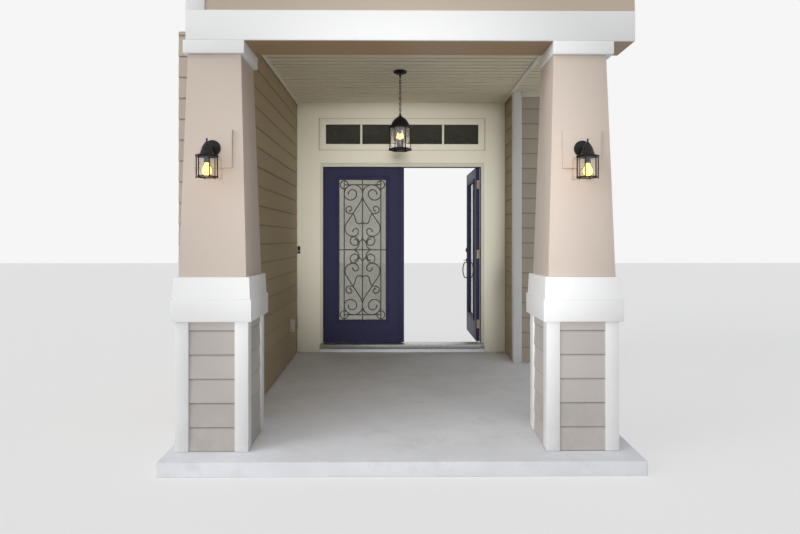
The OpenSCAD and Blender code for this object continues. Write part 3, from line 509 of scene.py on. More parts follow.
# %% Metals
def metal(name, color, worn, amount, roughness, scale=60.0, metallic=1.0, bump=0.15):
    """A metal with a worn second tone."""
    material, tree, shader = new_material(name)
    surface = use_group(tree, rubbed_metal, Color=(*color, 1), Worn_Color=(*worn, 1), Amount=amount,
                        Roughness=roughness, Scale=scale)
    tree.links.new(surface.outputs["Color"], shader.inputs["Base Color"])
    tree.links.new(surface.outputs["Roughness"], shader.inputs["Roughness"])
    shader.inputs["Metallic"].default_value = metallic
    add_bump(tree, shader, surface.outputs["Height"], bump, 0.0006)
    return material


wrought_iron = metal("wrought_iron", (0.006, 0.006, 0.007), (0.018, 0.018, 0.018), 0.3, 0.6, metallic=0.0)
lamp_bronze = metal("lamp_bronze", (0.008, 0.007, 0.007), (0.030, 0.022, 0.018), 0.3, 0.45, metallic=0.3)
# Black rubber for the weather strips; its black also stands for the shade in the gaps round the door: partly painted
# shade.
rubber_and_gap_shade = painted("rubber_and_gap_shade", (0.012, 0.012, 0.013), gloss=0.55, unevenness=0.2, dirt=0.0, grain=0.05)
brass = metal("hinge_brass", (0.60, 0.51, 0.36), (0.74, 0.65, 0.48), 0.5, 0.45, metallic=0.7)
handle_bronze = metal("handle_bronze", (0.16, 0.13, 0.11), (0.40, 0.34, 0.28), 0.5, 0.32)
sill_metal = metal("sill_metal", (0.55, 0.55, 0.55), (0.68, 0.68, 0.67), 0.5, 0.45, scale=25.0)
fitting_plastic = metal("fitting_plastic", (0.52, 0.49, 0.42), (0.60, 0.57, 0.50), 0.4, 0.5, metallic=0.0)
print("metals ready")


# %% Glass
def clear_glass(name, tint, roughness=0.02):
    """A pane that light passes through and is tinted by, with a faint film on it."""
    material, tree, shader = new_material(name)
    place_in = node(tree, "TexCoord").outputs["Object"]
    film = noise(tree, place_in, 2.5, 3.0)
    tree.links.new(mixed(tree, film, (*tint, 1), tuple(0.9 * c for c in tint) + (1,)), shader.inputs["Base Color"])
    shader.inputs["Transmission Weight"].default_value = 1.0
    shader.inputs["Roughness"].default_value = roughness
    shader.inputs["IOR"].default_value = 1.5
    return material


def film_glass(name, color, alpha, roughness=0.03):
    """Thin glass as a glossy film that lets lamplight and its shadows pass straight on."""
    material, tree, shader = new_material(name)
    place_in = node(tree, "TexCoord").outputs["Object"]
    film = noise(tree, place_in, 3.0, 3.0)
    tree.links.new(mixed(tree, film, (*color, 1), tuple(0.85 * c for c in color) + (1,)), shader.inputs["Base Color"])
    tree.links.new(ramp(tree, film, 0.3, 0.7, alpha * 0.9, min(1.0, alpha * 1.1)), shader.inputs["Alpha"])
    shader.inputs["Roughness"].default_value = roughness
    shader.inputs["IOR"].default_value = 1.52
    return material


door_glass = clear_glass("door_glass", (0.58, 0.57, 0.52))
# The faint pale blue film on the lamp panes stands for reflected sky: painted reflection.
lamp_glass = film_glass("lamp_glass", (0.70, 0.76, 0.82), 0.07)
# The window glass is opaque and nearly black: painted shade of the dark room behind it.
shaded_window_glass = film_glass("shaded_window_glass", (0.042, 0.042, 0.034), 1.0, 0.06)
print("glass ready")

# %% [markdown]
# A lit bulb clips to yellow in a photograph: red and green are past white and blue isn't. So the emission keeps
# its blue low, and it gets redder towards the foot of each flame. Height in object coordinates tells the round
# bulbs of the wall lanterns from the flame bulbs of the pendant, which hangs higher.

# %% Lit bulbs
def lit_bulbs():
    """Warm emission, amber in the high pendant and yellow in the wall lanterns."""
    material, tree, shader = new_material("bulb_glow")
    height = node(tree, "SeparateXYZ", {0: node(tree, "TexCoord").outputs["Object"]}).outputs[2]
    high = math_node(tree, "GREATER_THAN", height, 2.2)
    along = ramp(tree, height, 2.42, 2.49)
    flame = mixed(tree, along, (0.55, 0.20, 0.04, 1), (0.80, 0.46, 0.16, 1))
    tint = mixed(tree, high, (1.0, 0.56, 0.10, 1), flame)
    tree.links.new(tint, shader.inputs["Emission Color"])
    tree.links.new(tint, shader.inputs["Base Color"])
    shader.inputs["Emission Strength"].default_value = 4.0
    shader.inputs["Roughness"].default_value = 0.2
    return material


bulb_glow = lit_bulbs()
print("materials:", len(bpy.data.materials))

# %% [markdown]
# ## Lap siding
# One lap board is a wedge: thick at its lower edge and thin where the next board covers it. It is modelled once
# from a block whose upper front edge is pushed back and whose lower front edge is rounded, then repeated upwards by
# an Array modifier, turned to face out of its wall, and cut to the wall's outline by bisecting.

# %% Lap boards
FLOOR_FRONT = Vector((0, -2.960, 0.100))
FLOOR_NORMAL = Vector((0, -0.095 / 2.960, 1)).normalized()
SIDING = 0.012


def cut(piece, point, normal):
    """Cuts away what lies behind a plane, and closes the cut."""
    edit(piece)
    bpy.ops.mesh.select_all(action="SELECT")
    bpy.ops.mesh.bisect(plane_co=point, plane_no=normal, use_fill=True, clear_inner=True)
    done()


def lap_panel(name, start, facing, length, bottom, top, first_course, gap=0.008):
    """Lap siding on a wall. Start is the back of its left end; facing is the angle that turns -Y to the front."""
    course = math.floor((bottom - first_course) / EXPOSURE)
    lowest = first_course + course * EXPOSURE
    board = block(name, (0, -SIDING, lowest), (length, 0, lowest + EXPOSURE))
    edit(board, "EDGE")
    done()
    for edge in board.data.edges:
        ends = [board.data.vertices[i].co for i in edge.vertices]
        edge.select = all(end.y < -SIDING / 2 and end.z > lowest + EXPOSURE / 2 for end in ends)
    bpy.ops.object.mode_set(mode="EDIT")
    bpy.ops.transform.translate(value=(0, 0.0075, 0))
    bpy.ops.mesh.select_all(action="DESELECT")
    done()
    for edge in board.data.edges:
        ends = [board.data.vertices[i].co for i in edge.vertices]
        edge.select = all(end.y < -SIDING / 2 and end.z < lowest + EXPOSURE / 2 for end in ends)
    bpy.ops.object.mode_set(mode="EDIT")
    bpy.ops.mesh.bevel(offset=0.0014, segments=2, affect="EDGES")
    done()
    courses = math.ceil((top - lowest) / EXPOSURE)
    apply_modifier(board, "ARRAY", count=courses, use_relative_offset=False, use_constant_offset=True,
                   constant_offset_displace=(0, 0, EXPOSURE))
    board.rotation_euler.z = math.radians(facing)
    board.location = (*start, 0)
    settle(board)
    cut(board, FLOOR_FRONT + Vector((0, 0, gap)), FLOOR_NORMAL)
    if bottom > 1:
        cut(board, (0, 0, bottom), (0, 0, 1))
    cut(board, (0, 0, top), (0, 0, -1))
    return board


# %% Siding of the walls
side_low, side_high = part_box("wall_siding")
CEILING = side_high.z
inner_laps = joined("inner_laps", [
    lap_panel("side_wall", (-1.150, -2.248), 90, 2.248, 0.1, CEILING, WALL_COURSE),
    lap_panel("return_side", (1.261, 0), -90, 0.438, 0.1, CEILING, WALL_COURSE),
])
outer_laps = joined("outer_laps", [
    lap_panel("garage_front", (-1.660, -2.318), 0, 0.440, 0.1, CEILING, WALL_COURSE),
    lap_panel("front_wall", (1.331, -0.508), 0, 0.249, 0.1, CEILING, WALL_COURSE),
])
place(inner_laps, "root", "siding", shaded_paint, "wall_siding")
place(outer_laps, "root", "siding", outer_paint, "wall_siding")

# %% [markdown]
# The pedestals are clad on all four sides between their corner boards. Each gets four narrow panels round a core.

# %% Siding of the pedestals
COLUMN_X, COLUMN_Y = 1.219, -2.720
CORE, PANEL = 0.442, 0.302
PEDESTAL_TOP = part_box("pedestals")[1].z


def pedestal_cladding(x):
    """Core and four lap panels of one pedestal."""
    half, side = CORE / 2, PANEL / 2
    core = block("core", (x - half, COLUMN_Y - half, 0.1), (x + half, COLUMN_Y + half, PEDESTAL_TOP))
    cut(core, FLOOR_FRONT, FLOOR_NORMAL)
    sides = [
        ((x - side, COLUMN_Y - half), 0), ((x + half, COLUMN_Y - side), 90),
        ((x + side, COLUMN_Y + half), 180), ((x - half, COLUMN_Y + side), -90),
    ]
    panels = [lap_panel("panel", start, facing, PANEL, 0.1, PEDESTAL_TOP, PEDESTAL_COURSE, 0.001)
              for start, facing in sides]
    return [core, *panels]


pedestal_laps = joined("pedestal_laps", pedestal_cladding(-COLUMN_X) + pedestal_cladding(COLUMN_X))
place(pedestal_laps, "root", "siding", pedestal_paint, "pedestals")

# %% Siding above the beam
upper_low, upper_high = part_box("upper_siding")
FASCIA_TOP = upper_low.z
UPPER_TOP = upper_high.z
upper_laps = joined("upper_laps", [
    lap_panel("upper_front", (-1.277, -2.903), 0, 2.857, FASCIA_TOP, UPPER_TOP, FASCIA_TOP),
    lap_panel("upper_end", (-1.384, -2.598), -90, 0.198, FASCIA_TOP, UPPER_TOP, FASCIA_TOP),
    lap_panel("upper_side", (-1.384, 0.114), -90, 2.712, 3.076, UPPER_TOP, FASCIA_TOP),
])
place(upper_laps, "root", "siding", upper_paint, "upper_siding")

# %% [markdown]
# ## Boards with soft edges
# Trim, casing, shafts, doors and slab have the right shape already. They are copied with their edges rounded, more
# on the concrete and less on the planed boards.

# %% Trim, columns and slab
place(softened("corner_boards", "corner_trim", 0.002), "root", "trim", trim_paint, "corner_boards")
place(softened("pedestal_caps", "cap_boards", 0.003), "root", "trim", trim_paint, "pedestal_caps")
place(softened("capitals", "capital_boards", 0.003), "root", "trim", trim_paint, "capitals")
place(softened("beam_fascia", "fascia_board", 0.002), "root", "trim", trim_paint, "beam_fascia")
place(softened("column_shafts", "shaft_boards", 0.004), "root", "shaft", shaft_paint, "column_shafts")
place(softened("lantern_blocks", "lamp_blocks", 0.003), "root", "shaft", shaft_paint, "lantern_blocks")
place(softened("porch_slab", "slab", 0.008, 3), "root", "concrete", concrete, "porch_slab")

# %% Casing, frames and doors
place(softened("ceiling_trim", "ceiling_mouldings", 0.004, 3), "root", "casing", casing_paint, "ceiling_trim")
place(softened("transom_frame", "window_frame", 0.003), "root", "casing", casing_paint, "transom_frame")
place(softened("door_frame", "jambs", 0.002), "root", "jamb", shaded_jamb_paint, "door_frame")
place(softened("door_sill", "threshold", 0.003), "root", "sill", sill_metal, "door_sill")
for side in ("left", "right"):
    body = side + "_door"
    place(softened(side + "_leaf", side + "_leaf_boards", 0.0015), body, "door", door_paint, side + "_leaf")
    place(softened(side + "_lite_frame", side + "_lite_moulding", 0.005, 3), body, "door", door_paint, side + "_lite_frame")
place(softened("astragal", "meeting_strip", 0.003), "left_door", "door", door_paint, "astragal")

# %% [markdown]
# ## Boards round the door
# The door wall is faced with flat boards: one at each side from floor to ceiling, one across over the door and one
# over the window. Each is a board of its own with eased edges, so a fine line shows where two of them meet.

# %% Boards of the door wall
wall_low, wall_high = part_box("entry_boards")
window_low, window_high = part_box("transom_frame")
DOOR_LEFT, DOOR_RIGHT = -0.8755, 1.0075
HEADER_FOOT = 2.372


def eased_board(name, low, high, ease=0.0015):
    """A board whose edges are rounded by a bevel in edit mode."""
    board = block(name, low, high)
    edit(board)
    bpy.ops.mesh.select_all(action="SELECT")
    bpy.ops.mesh.bevel(offset=ease, segments=2, affect="EDGES")
    done()
    return board


def wall_board(name, x_low, x_high, z_low, z_high):
    """A flat board on the door wall."""
    return eased_board(name, (x_low, wall_low.y, z_low), (x_high, wall_high.y, z_high))


door_wall_boards = joined("door_wall_boards", [
    wall_board("left_board", wall_low.x, DOOR_LEFT, wall_low.z, wall_high.z),
    wall_board("right_board", DOOR_RIGHT, wall_high.x, wall_low.z, wall_high.z),
    wall_board("header_board", DOOR_LEFT, DOOR_RIGHT, HEADER_FOOT, window_low.z),
    wall_board("top_board", DOOR_LEFT, DOOR_RIGHT, window_high.z, wall_high.z),
])
place(door_wall_boards, "root", "casing", casing_paint, "entry_boards")

# %% [markdown]
# ## Grooved ceiling
# The ceiling is a ribbed soffit: flat strips with a channel between them, which run across the porch. The upright
# side of each channel faces the street and catches the light as a bright line. One strip is modelled as a thick
# board with eased edges beside a thin one, and an Array lays the pairs side by side.

# %% Ceiling boards
BOARD = 0.1016
CHANNEL = 0.024
ceiling_low, ceiling_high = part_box("ceiling_panel")


def ceiling_strip(name, x_low, x_high, y_low, y_high):
    """Ribbed ceiling over one rectangle, on the same rows as the others."""
    first = math.floor((y_low - ceiling_low.y) / BOARD)
    y_start = ceiling_low.y + first * BOARD
    thick = eased_board("thick", (x_low, y_start, ceiling_low.z), (x_high, y_start + BOARD - CHANNEL, ceiling_high.z))
    thin = block("thin", (x_low, y_start + BOARD - CHANNEL, ceiling_high.z - 0.003),
                 (x_high, y_start + BOARD, ceiling_high.z))
    strip = joined(name, [thick, thin])
    rows = math.ceil((y_high - y_start) / BOARD - 0.001)
    apply_modifier(strip, "ARRAY", count=rows, use_relative_offset=False, use_constant_offset=True,
                   constant_offset_displace=(0, BOARD, 0))
    cut(strip, (0, y_low, 0), (0, 1, 0))
    cut(strip, (0, y_high, 0), (0, -1, 0))
    cut(strip, (x_low, 0, 0), (1, 0, 0))
    return strip


ceiling_boards = joined("ceiling_boards", [
    ceiling_strip("front_rows", -1.384, 1.580, ceiling_low.y, -2.318),
    ceiling_strip("middle_rows", -1.150, 1.580, -2.318, -0.508),
    ceiling_strip("back_rows", -1.150, 1.261, -0.508, ceiling_high.y),
])
place(ceiling_boards, "root", "ceiling", ceiling_paint, "ceiling_panel")

# %% [markdown]
# ## Window bars
# The window over the door is divided into four lights by three slim bars on the glass. Each is a block with its two
# front edges bevelled to the usual putty slope.

# %% Transom bars
glass_low, glass_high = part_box("transom_glass")
BAR_X = (-0.404, 0.066, 0.537)


def window_bar(x):
    """One upright bar with sloping sides."""
    bar = block("bar", (x - 0.012, glass_low.y - 0.012, glass_low.z), (x + 0.012, glass_low.y, glass_high.z))
    edit(bar, "EDGE")
    done()
    for edge in bar.data.edges:
        ends = [bar.data.vertices[i].co for i in edge.vertices]
        front = all(end.y < glass_low.y - 0.006 for end in ends)
        edge.select = front and abs(ends[0].z - ends[1].z) > 0.1
    bpy.ops.object.mode_set(mode="EDIT")
    bpy.ops.mesh.bevel(offset=0.006, segments=2, affect="EDGES")
    done()
    return bar


place(joined("transom_bars", [window_bar(x) for x in BAR_X]), "root", "casing", casing_paint)

# %% [markdown]
# ## Weather strips
# Soft dark strips fill the gap between the stops and the leaves, and one under each leaf brushes the sill. Seen from
# the street they draw the dark line round a closed door; their black also stands for the shade in that gap, so it is
# partly painted shade. A strip is a round bar, flattened against the stop.

# %% Weather strips
STOP_LEFT, STOP_RIGHT, STOP_HEAD, STOP_BACK = -0.8455, 0.9775, 2.329, 0.063


def round_strip(name, start, end, thickness, width, flat):
    """A flattened round bar between two points. Flat is the direction in which it is thin."""
    start, end = Vector(start), Vector(end)
    axis = (end - start).normalized()
    pick()
    bpy.ops.mesh.primitive_cylinder_add(vertices=12, radius=0.5, depth=(end - start).length)
    strip = bpy.context.active_object
    strip.name = name
    side = axis.cross(Vector(flat))
    turn = Matrix((side, Vector(flat), axis)).transposed().to_4x4()
    strip.matrix_world = Matrix.Translation((start + end) / 2) @ turn @ Matrix.Diagonal((width, thickness, 1, 1))
    settle(strip)
    pick(strip)
    bpy.ops.object.shade_smooth_by_angle(angle=math.radians(50))
    return strip


leaf_low, leaf_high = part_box("left_leaf")
STRIP_Y = STOP_BACK + 0.0022
stop_strips = joined("stop_strips", [
    round_strip("left_strip", (STOP_LEFT + 0.004, STRIP_Y, 0.298), (STOP_LEFT + 0.004, STRIP_Y, STOP_HEAD), 0.004, 0.011, (0, 1, 0)),
    round_strip("right_strip", (STOP_RIGHT - 0.004, STRIP_Y, 0.298), (STOP_RIGHT - 0.004, STRIP_Y, STOP_HEAD), 0.004, 0.011, (0, 1, 0)),
    round_strip("head_strip", (STOP_LEFT, STRIP_Y, STOP_HEAD - 0.004), (STOP_RIGHT, STRIP_Y, STOP_HEAD - 0.004), 0.004, 0.011, (0, 1, 0)),
])
place(stop_strips, "root", "dark_glass", rubber_and_gap_shade)
sweep_y = (leaf_low.y + leaf_high.y) / 2
left_sweep = round_strip("left_sweep", (leaf_low.x + 0.004, sweep_y, 0.2998), (leaf_high.x - 0.004, sweep_y, 0.2998), 0.0042, 0.030, (0, 0, 1))
place(left_sweep, "left_door", "dark_glass", rubber_and_gap_shade)

# %% [markdown]
# ## Small parts of the open leaf
# The right leaf stands open at rest, so what is modelled on it is built where it would be with the door closed, and
# then turned a quarter round the hinge pin, as the door itself is.

# %% Turning with the open leaf
HINGE = Vector((0.985, 0.122, 0))
OPEN = Matrix.Translation(HINGE) @ Matrix.Rotation(math.radians(-90), 4, "Z") @ Matrix.Translation(-HINGE)
MIDDLE = 0.066


def on_open_leaf(piece):
    """Turns a piece from the closed to the open place of the right leaf."""
    piece.matrix_world = OPEN @ piece.matrix_world
    settle(piece)
    return piece


right_sweep = on_open_leaf(round_strip("right_sweep", (2 * MIDDLE - leaf_low.x - 0.004, sweep_y, 0.2998),
                                       (2 * MIDDLE - leaf_high.x + 0.004, sweep_y, 0.2998), 0.0042, 0.030, (0, 0, 1)))
place(right_sweep, "right_door", "dark_glass", rubber_and_gap_shade)

# %% [markdown]
# ## Beads and sealant
# The moulding round each lite has a raised bead along both its edges. A bead is four round bars whose ends overlap
# at the corners. The same helper runs a line of dark sealant round the window, where it meets the boards; its dark
# tone also stands for the shade line along the frame's edge, as painted shade.

# %% Beads and sealant
def bead_ring(name, x_low, x_high, z_low, z_high, y, width, rise):
    """Four flattened round bars round a rectangle on an upright plane."""
    half = width / 2
    return joined(name, [round_strip(name + "_bar", start, end, rise, width, (0, 1, 0)) for start, end in (
        ((x_low, y, z_low - half), (x_low, y, z_high + half)), ((x_high, y, z_low - half), (x_high, y, z_high + half)),
        ((x_low - half, y, z_low), (x_high + half, y, z_low)), ((x_low - half, y, z_high), (x_high + half, y, z_high)))])


def lite_beads(name):
    """Outer and inner beads on both faces of the left leaf's moulding."""
    ring_low, ring_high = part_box("left_lite_frame")
    rings = []
    for inset in (0.007, 0.031):
        for y in (ring_low.y, ring_high.y):
            rings.append(bead_ring("bead", ring_low.x + inset, ring_high.x - inset, ring_low.z + inset,
                                   ring_high.z - inset, y, 0.009, 0.007))
    return joined(name, rings)


place(lite_beads("left_beads"), "left_door", "door", door_paint)
right_beads = lite_beads("right_beads")
frame_low, frame_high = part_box("left_lite_frame")
right_beads.location.x = 2 * MIDDLE - frame_low.x - frame_high.x
settle(right_beads)
place(on_open_leaf(right_beads), "right_door", "door", door_paint)
# The sealant's dark tone is partly painted shade along the window frame's edge.
sealant_and_shade_ring = bead_ring("window_sealant_and_shade", window_low.x, window_high.x, window_low.z, window_high.z, wall_low.y, 0.008, 0.006)
place(sealant_and_shade_ring, "root", "casing", sealant_and_shade)

# %% [markdown]
# ## Screws
# Lock plates, the outlet cover and the lamp plates are held by small screws. One head is a short cylinder with its
# rim bevelled and a cross pressed in: the top is inset and the ring inside it is pushed down. It is modelled once,
# facing +Z, and copied to every hole.

# %% A screw head
def screw_head(radius=0.0042, rise=0.0012):
    """A domed screw head with a square recess, facing +Z."""
    pick()
    bpy.ops.mesh.primitive_cylinder_add(vertices=16, radius=radius, depth=rise, location=(0, 0, rise / 2))
    head = bpy.context.active_object
    settle(head)
    for face in head.data.polygons:
        face.select = face.normal.z > 0.9
    bpy.ops.object.mode_set(mode="EDIT")
    bpy.ops.mesh.select_mode(type="FACE")
    bpy.ops.mesh.inset(thickness=radius * 0.25)
    bpy.ops.transform.translate(value=(0, 0, rise * 0.35))
    bpy.ops.mesh.inset(thickness=radius * 0.35)
    bpy.ops.mesh.inset(thickness=radius * 0.02, depth=-rise * 0.6)
    done()
    return head


def faced(piece, spot, facing):
    """Turns a piece that faces +Z to face another way, and puts it at a spot."""
    turn = Vector(facing).to_track_quat("Z", "Y").to_matrix().to_4x4()
    piece.matrix_world = Matrix.Translation(spot) @ turn @ piece.matrix_world
    settle(piece)
    return piece


def repeated(name, model, spots):
    """Copies of one model at many spots, joined. Each spot is a place and the direction that it faces."""
    copies = [faced(copy_of(model), spot, facing) for spot, facing in spots]
    bpy.data.objects.remove(model)
    return joined(name, copies)


print("screw helpers ready")

# %% [markdown]
# The free edge of the open leaf carries two face plates, for the deadbolt and for the latch, each with two screws.

# %% Lock plates
LEAF_FREE_X = 0.0685
LEAF_MID_Y = (leaf_low.y + leaf_high.y) / 2
LOCK_HEIGHTS = (1.351, 1.213)
lock_parts = []
for height in LOCK_HEIGHTS:
    plate = eased_board("plate", (LEAF_FREE_X - 0.0016, LEAF_MID_Y - 0.0125, height - 0.0285),
                        (LEAF_FREE_X, LEAF_MID_Y + 0.0125, height + 0.0285), 0.0006)
    bolt = eased_board("bolt", (LEAF_FREE_X - 0.0030, LEAF_MID_Y - 0.0060, height - 0.0110),
                       (LEAF_FREE_X - 0.0010, LEAF_MID_Y + 0.0060, height + 0.0110), 0.0008)
    lock_parts += [plate, bolt]
lock_parts.append(repeated("plate_screws", screw_head(0.0036, 0.0008), [
    ((LEAF_FREE_X - 0.0015, LEAF_MID_Y, height + rise), (-1, 0, 0)) for height in LOCK_HEIGHTS for rise in (-0.021, 0.021)]))
place(on_open_leaf(joined("lock_plates", lock_parts)), "right_door", "handle", handle_bronze)

# %% [markdown]
# Each lite frame is two halves that clamp the leaf, pulled together by screws from inside the house, and every
# screw is hidden under a round plug.

# %% Screw plugs of the lite frames
LITE_X, LITE_HALF, LITE_FOOT, LITE_TOP = -0.3935, 0.2885, 0.540, 2.203
LITE_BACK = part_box("left_lite_frame")[1].y


def plug_spots():
    """Round the lite frame of the left leaf, on the face that looks into the house."""
    spots = []
    for x in (LITE_X - LITE_HALF, LITE_X + LITE_HALF):
        for step in range(6):
            spots.append((x, LITE_BACK, LITE_FOOT + (LITE_TOP - LITE_FOOT) * step / 5))
    spots += [(LITE_X, LITE_BACK, LITE_FOOT), (LITE_X, LITE_BACK, LITE_TOP)]
    return spots


def plugs(name, mirrored):
    """Plugs of one leaf. The right leaf's are mirrored about the middle of the doorway."""
    return repeated(name, screw_head(0.0065, 0.0009), [
        (((2 * MIDDLE - x) if mirrored else x, y - 0.0001, z), (0, 1, 0)) for x, y, z in plug_spots()])


place(plugs("left_plugs", False), "left_door", "door", door_paint)
place(on_open_leaf(plugs("right_plugs", True)), "right_door", "door", door_paint)

# %% [markdown]
# ## Bell and outlet
# The bell is a slim case with a round button in a raised ring. The outlet has a rain cover: a box with soft
# corners, a lid with a lip round it, and a hinge along its top.

# %% Door bell
BELL_LOW, BELL_HIGH = Vector((-1.132, -0.020, 1.330)), Vector((-1.102, 0, 1.415))
bell_case = eased_board("bell_case", BELL_LOW + Vector((0, 0.004, 0)), BELL_HIGH, 0.005)
bell_x, bell_z = (BELL_LOW.x + BELL_HIGH.x) / 2, BELL_LOW.z + 0.030
pick()
bpy.ops.mesh.primitive_torus_add(major_radius=0.0100, minor_radius=0.0018, major_segments=32, minor_segments=10)
ring = faced(bpy.context.active_object, (bell_x, BELL_LOW.y + 0.0045, bell_z), (0, -1, 0))
bell = joined("bell_case", [bell_case, ring])
place(bell, "root", "lamp_metal", lamp_bronze, "wall_fittings")
pick()
bpy.ops.mesh.primitive_uv_sphere_add(segments=24, ring_count=12, radius=0.0085)
button = bpy.context.active_object
button.scale.z = 0.4
settle(button)
bell_button = faced(button, (bell_x, BELL_LOW.y + 0.0040, bell_z), (0, -1, 0))
pick(bell_button)
bpy.ops.object.shade_smooth()
bell_button.name = "bell_button"
place(bell_button, "root", "fitting", fitting_plastic, "wall_fittings")

# %% Outlet with its rain cover
OUT_X, OUT_Y, OUT_Z = -1.138, (-0.500, -0.420), (0.505, 0.645)
outlet_box = eased_board("outlet_box", (OUT_X, OUT_Y[0] + 0.006, OUT_Z[0] + 0.004), (OUT_X + 0.026, OUT_Y[1] - 0.006, OUT_Z[1] - 0.008), 0.004)
lid = eased_board("lid", (OUT_X + 0.024, OUT_Y[0], OUT_Z[0]), (OUT_X + 0.045, OUT_Y[1], OUT_Z[1] - 0.006), 0.007)
for face in lid.data.polygons:
    face.select = face.normal.x > 0.9
bpy.ops.object.mode_set(mode="EDIT")
bpy.ops.mesh.select_mode(type="FACE")
bpy.ops.mesh.inset(thickness=0.010)
bpy.ops.mesh.inset(thickness=0.002, depth=-0.0025)
done()
pick()
bpy.ops.mesh.primitive_cylinder_add(vertices=20, radius=0.005, depth=0.070, location=(OUT_X + 0.028, sum(OUT_Y) / 2, OUT_Z[1] - 0.005), rotation=(math.radians(90), 0, 0))
barrel = bpy.context.active_object
settle(barrel)
cover_screws = repeated("cover_screws", screw_head(0.0036), [
    ((OUT_X + 0.0425, sum(OUT_Y) / 2, OUT_Z[0] + 0.020), (1, 0, 0))])
outlet = joined("outlet_cover", [outlet_box, lid, barrel, cover_screws])
pick(outlet)
bpy.ops.object.shade_smooth_by_angle(angle=math.radians(35))
place(outlet, "root", "fitting", fitting_plastic, "wall_fittings")

# %% [markdown]
# ## Nuts of the lamp plates
# A wall lantern's round plate is held by two ball nuts beside the arm. A ball nut is a small sphere on a collar.

# %% Ball nuts
def ball_nut():
    """A ball on a collar, facing +Z."""
    pick()
    bpy.ops.mesh.primitive_cylinder_add(vertices=20, radius=0.0055, depth=0.006, location=(0, 0, 0.003))
    collar = bpy.context.active_object
    pick()
    bpy.ops.mesh.primitive_uv_sphere_add(segments=20, ring_count=10, radius=0.0062, location=(0, 0, 0.009))
    ball = bpy.context.active_object
    nut = joined("nut", [collar, ball])
    settle(nut)
    pick(nut)
    bpy.ops.object.shade_smooth_by_angle(angle=math.radians(40))
    return nut


PLATE_Y, PLATE_Z = -2.938, 2.095
plate_nuts = repeated("plate_nuts", ball_nut(), [
    ((side * COLUMN_X + offset, PLATE_Y - 0.008, PLATE_Z), (0, -1, 0)) for side in (-1, 1) for offset in (-0.036, 0.036)])
place(plate_nuts, "root", "lamp_metal", lamp_bronze)

# %% [markdown]
# ## Finishes of the other solids
# Ironwork, lamps, hinges, glass and hidden framing keep the frame's own shapes.

# %% Finishes
for name, material in {
    "foundation_stem": concrete, "beam_core": timber, "beam_soffit": soffit_paint, "roof_framing": timber,
    "roof_deck": timber, "garage_wall": timber, "return_wall": timber, "entry_wall_sides": timber,
    "entry_wall_header": timber, "transom_glass": shaded_window_glass, "frame_hinges": brass, "left_hinges": brass,
    "right_hinges": brass, "left_glass": door_glass, "right_glass": door_glass, "left_grille": wrought_iron,
    "right_grille": wrought_iron, "handleset": handle_bronze, "pendant_stem": lamp_bronze,
    "pendant_lantern": lamp_bronze, "wall_lanterns": lamp_bronze, "lamp_glass": lamp_glass, "lamp_bulbs": bulb_glow,
}.items():
    finish_solid(name, material)
print("solids finished")

# %% [markdown]
# ## Studio
# The porch stands on a plain pale floor. Light comes from a white sky all round that is
# brightest on the left, as on a hazy day, so wide suns stand for its brighter parts. A spot lamp far down the street
# reaches in between the columns to the door wall, and the pendant adds a little warm light of its own.

# %% Floor and light
pick()
bpy.ops.mesh.primitive_plane_add(size=60, location=(0, 0, 0))
studio_floor = bpy.context.active_object
studio_floor.name = "studio_floor"
floor_material, floor_tree, floor_shader = new_material("pale_floor")
floor_shader.inputs["Base Color"].default_value = (0.80, 0.80, 0.80, 1)
floor_shader.inputs["Roughness"].default_value = 0.9
floor_rays = node(floor_tree, "LightPath")
floor_seen = math_node(floor_tree, "MAXIMUM", floor_rays.outputs["Is Camera Ray"],
                       math_node(floor_tree, "MAXIMUM", floor_rays.outputs["Is Glossy Ray"],
                                 floor_rays.outputs["Is Transmission Ray"]))
pale = node(floor_tree, "Emission", Color=(0.92, 0.92, 0.92, 1), Strength=1.0)
floor_blend = node(floor_tree, "MixShader", {0: math_node(floor_tree, "MULTIPLY", floor_seen, 0.6),
                                             1: floor_shader.outputs[0], 2: pale.outputs[0]})
floor_tree.links.new(floor_blend.outputs[0], floor_tree.nodes["Material Output"].inputs[0])
studio_floor.data.materials.append(floor_material)

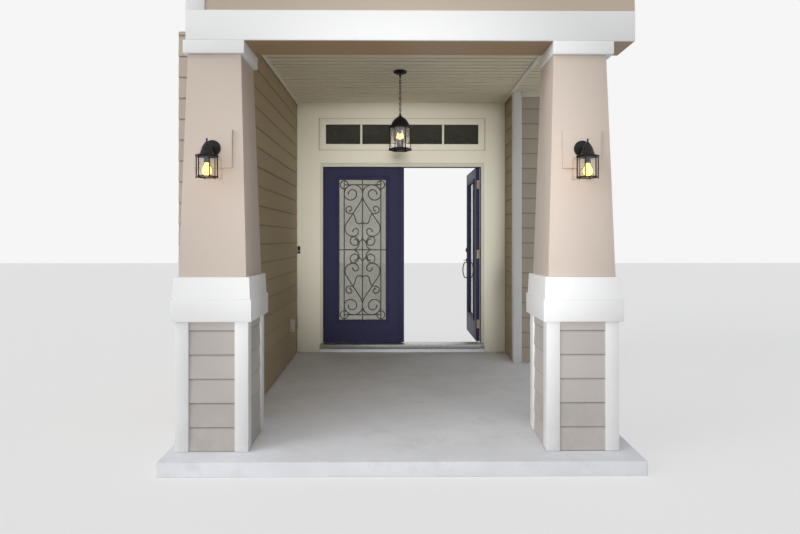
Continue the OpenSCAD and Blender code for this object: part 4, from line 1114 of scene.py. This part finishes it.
scene = bpy.context.scene
scene.view_settings.view_transform = "Standard"
world = bpy.data.worlds.new("studio_sky")
scene.world = world
world.use_nodes = True
sky = world.node_tree
sky.nodes.clear()
rays = node(sky, "LightPath")
seen = math_node(sky, "MAXIMUM", rays.outputs["Is Camera Ray"],
                 math_node(sky, "MAXIMUM", rays.outputs["Is Glossy Ray"], rays.outputs["Is Transmission Ray"]))
daylight = node(sky, "Background", Color=(0.95, 0.97, 1.0, 1), Strength=0.27)
backdrop = node(sky, "Background", Color=(0.92, 0.92, 0.92, 1), Strength=1.0)
blend_sky = node(sky, "MixShader", {0: seen, 1: daylight.outputs[0], 2: backdrop.outputs[0]})
sky_out = node(sky, "OutputWorld", {0: blend_sky.outputs[0]})


def aimed(name, kind, place_at, aim, energy, **settings):
    """A lamp that points at a spot."""
    bpy.ops.object.light_add(type=kind, location=place_at)
    lamp = bpy.context.active_object
    lamp.name = name
    lamp.data.energy = energy
    for setting, value in settings.items():
        setattr(lamp.data, setting, value)
    lamp.rotation_euler = (Vector(aim) - lamp.location).to_track_quat("-Z", "Y").to_euler()
    lamp.visible_glossy = False
    lamp.visible_transmission = False


def soft_sun(name, azimuth, elevation, spread, strength):
    """A wide sun, its azimuth measured from the street side towards the right."""
    turn, rise = math.radians(azimuth), math.radians(elevation)
    toward = Vector((math.sin(turn) * math.cos(rise), -math.cos(turn) * math.cos(rise), math.sin(rise)))
    aimed(name, "SUN", toward * 15, (0, 0, 0), strength, angle=math.radians(spread))


soft_sun("sky_left", -60, 16, 40, 1.55)
soft_sun("sky_street", -10, 4, 24, 0.45)
soft_sun("sky_above", 0, 65, 50, 0.60)
aimed("street_glow", "SPOT", (0.1, -13.0, 1.7), (0.05, 0, 1.7), 3100,
      spot_size=math.radians(14.5), spot_blend=0.35, shadow_soft_size=0.6)
pendant_low, pendant_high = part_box("pendant_lantern")
pendant_x, pendant_y = (pendant_low.x + pendant_high.x) / 2, (pendant_low.y + pendant_high.y) / 2
aimed("pendant_glow", "POINT", (pendant_x, pendant_y, 2.40), (pendant_x, pendant_y, 0), 2.5,
      color=(1.0, 0.78, 0.50), shadow_soft_size=0.03)
print("studio ready")
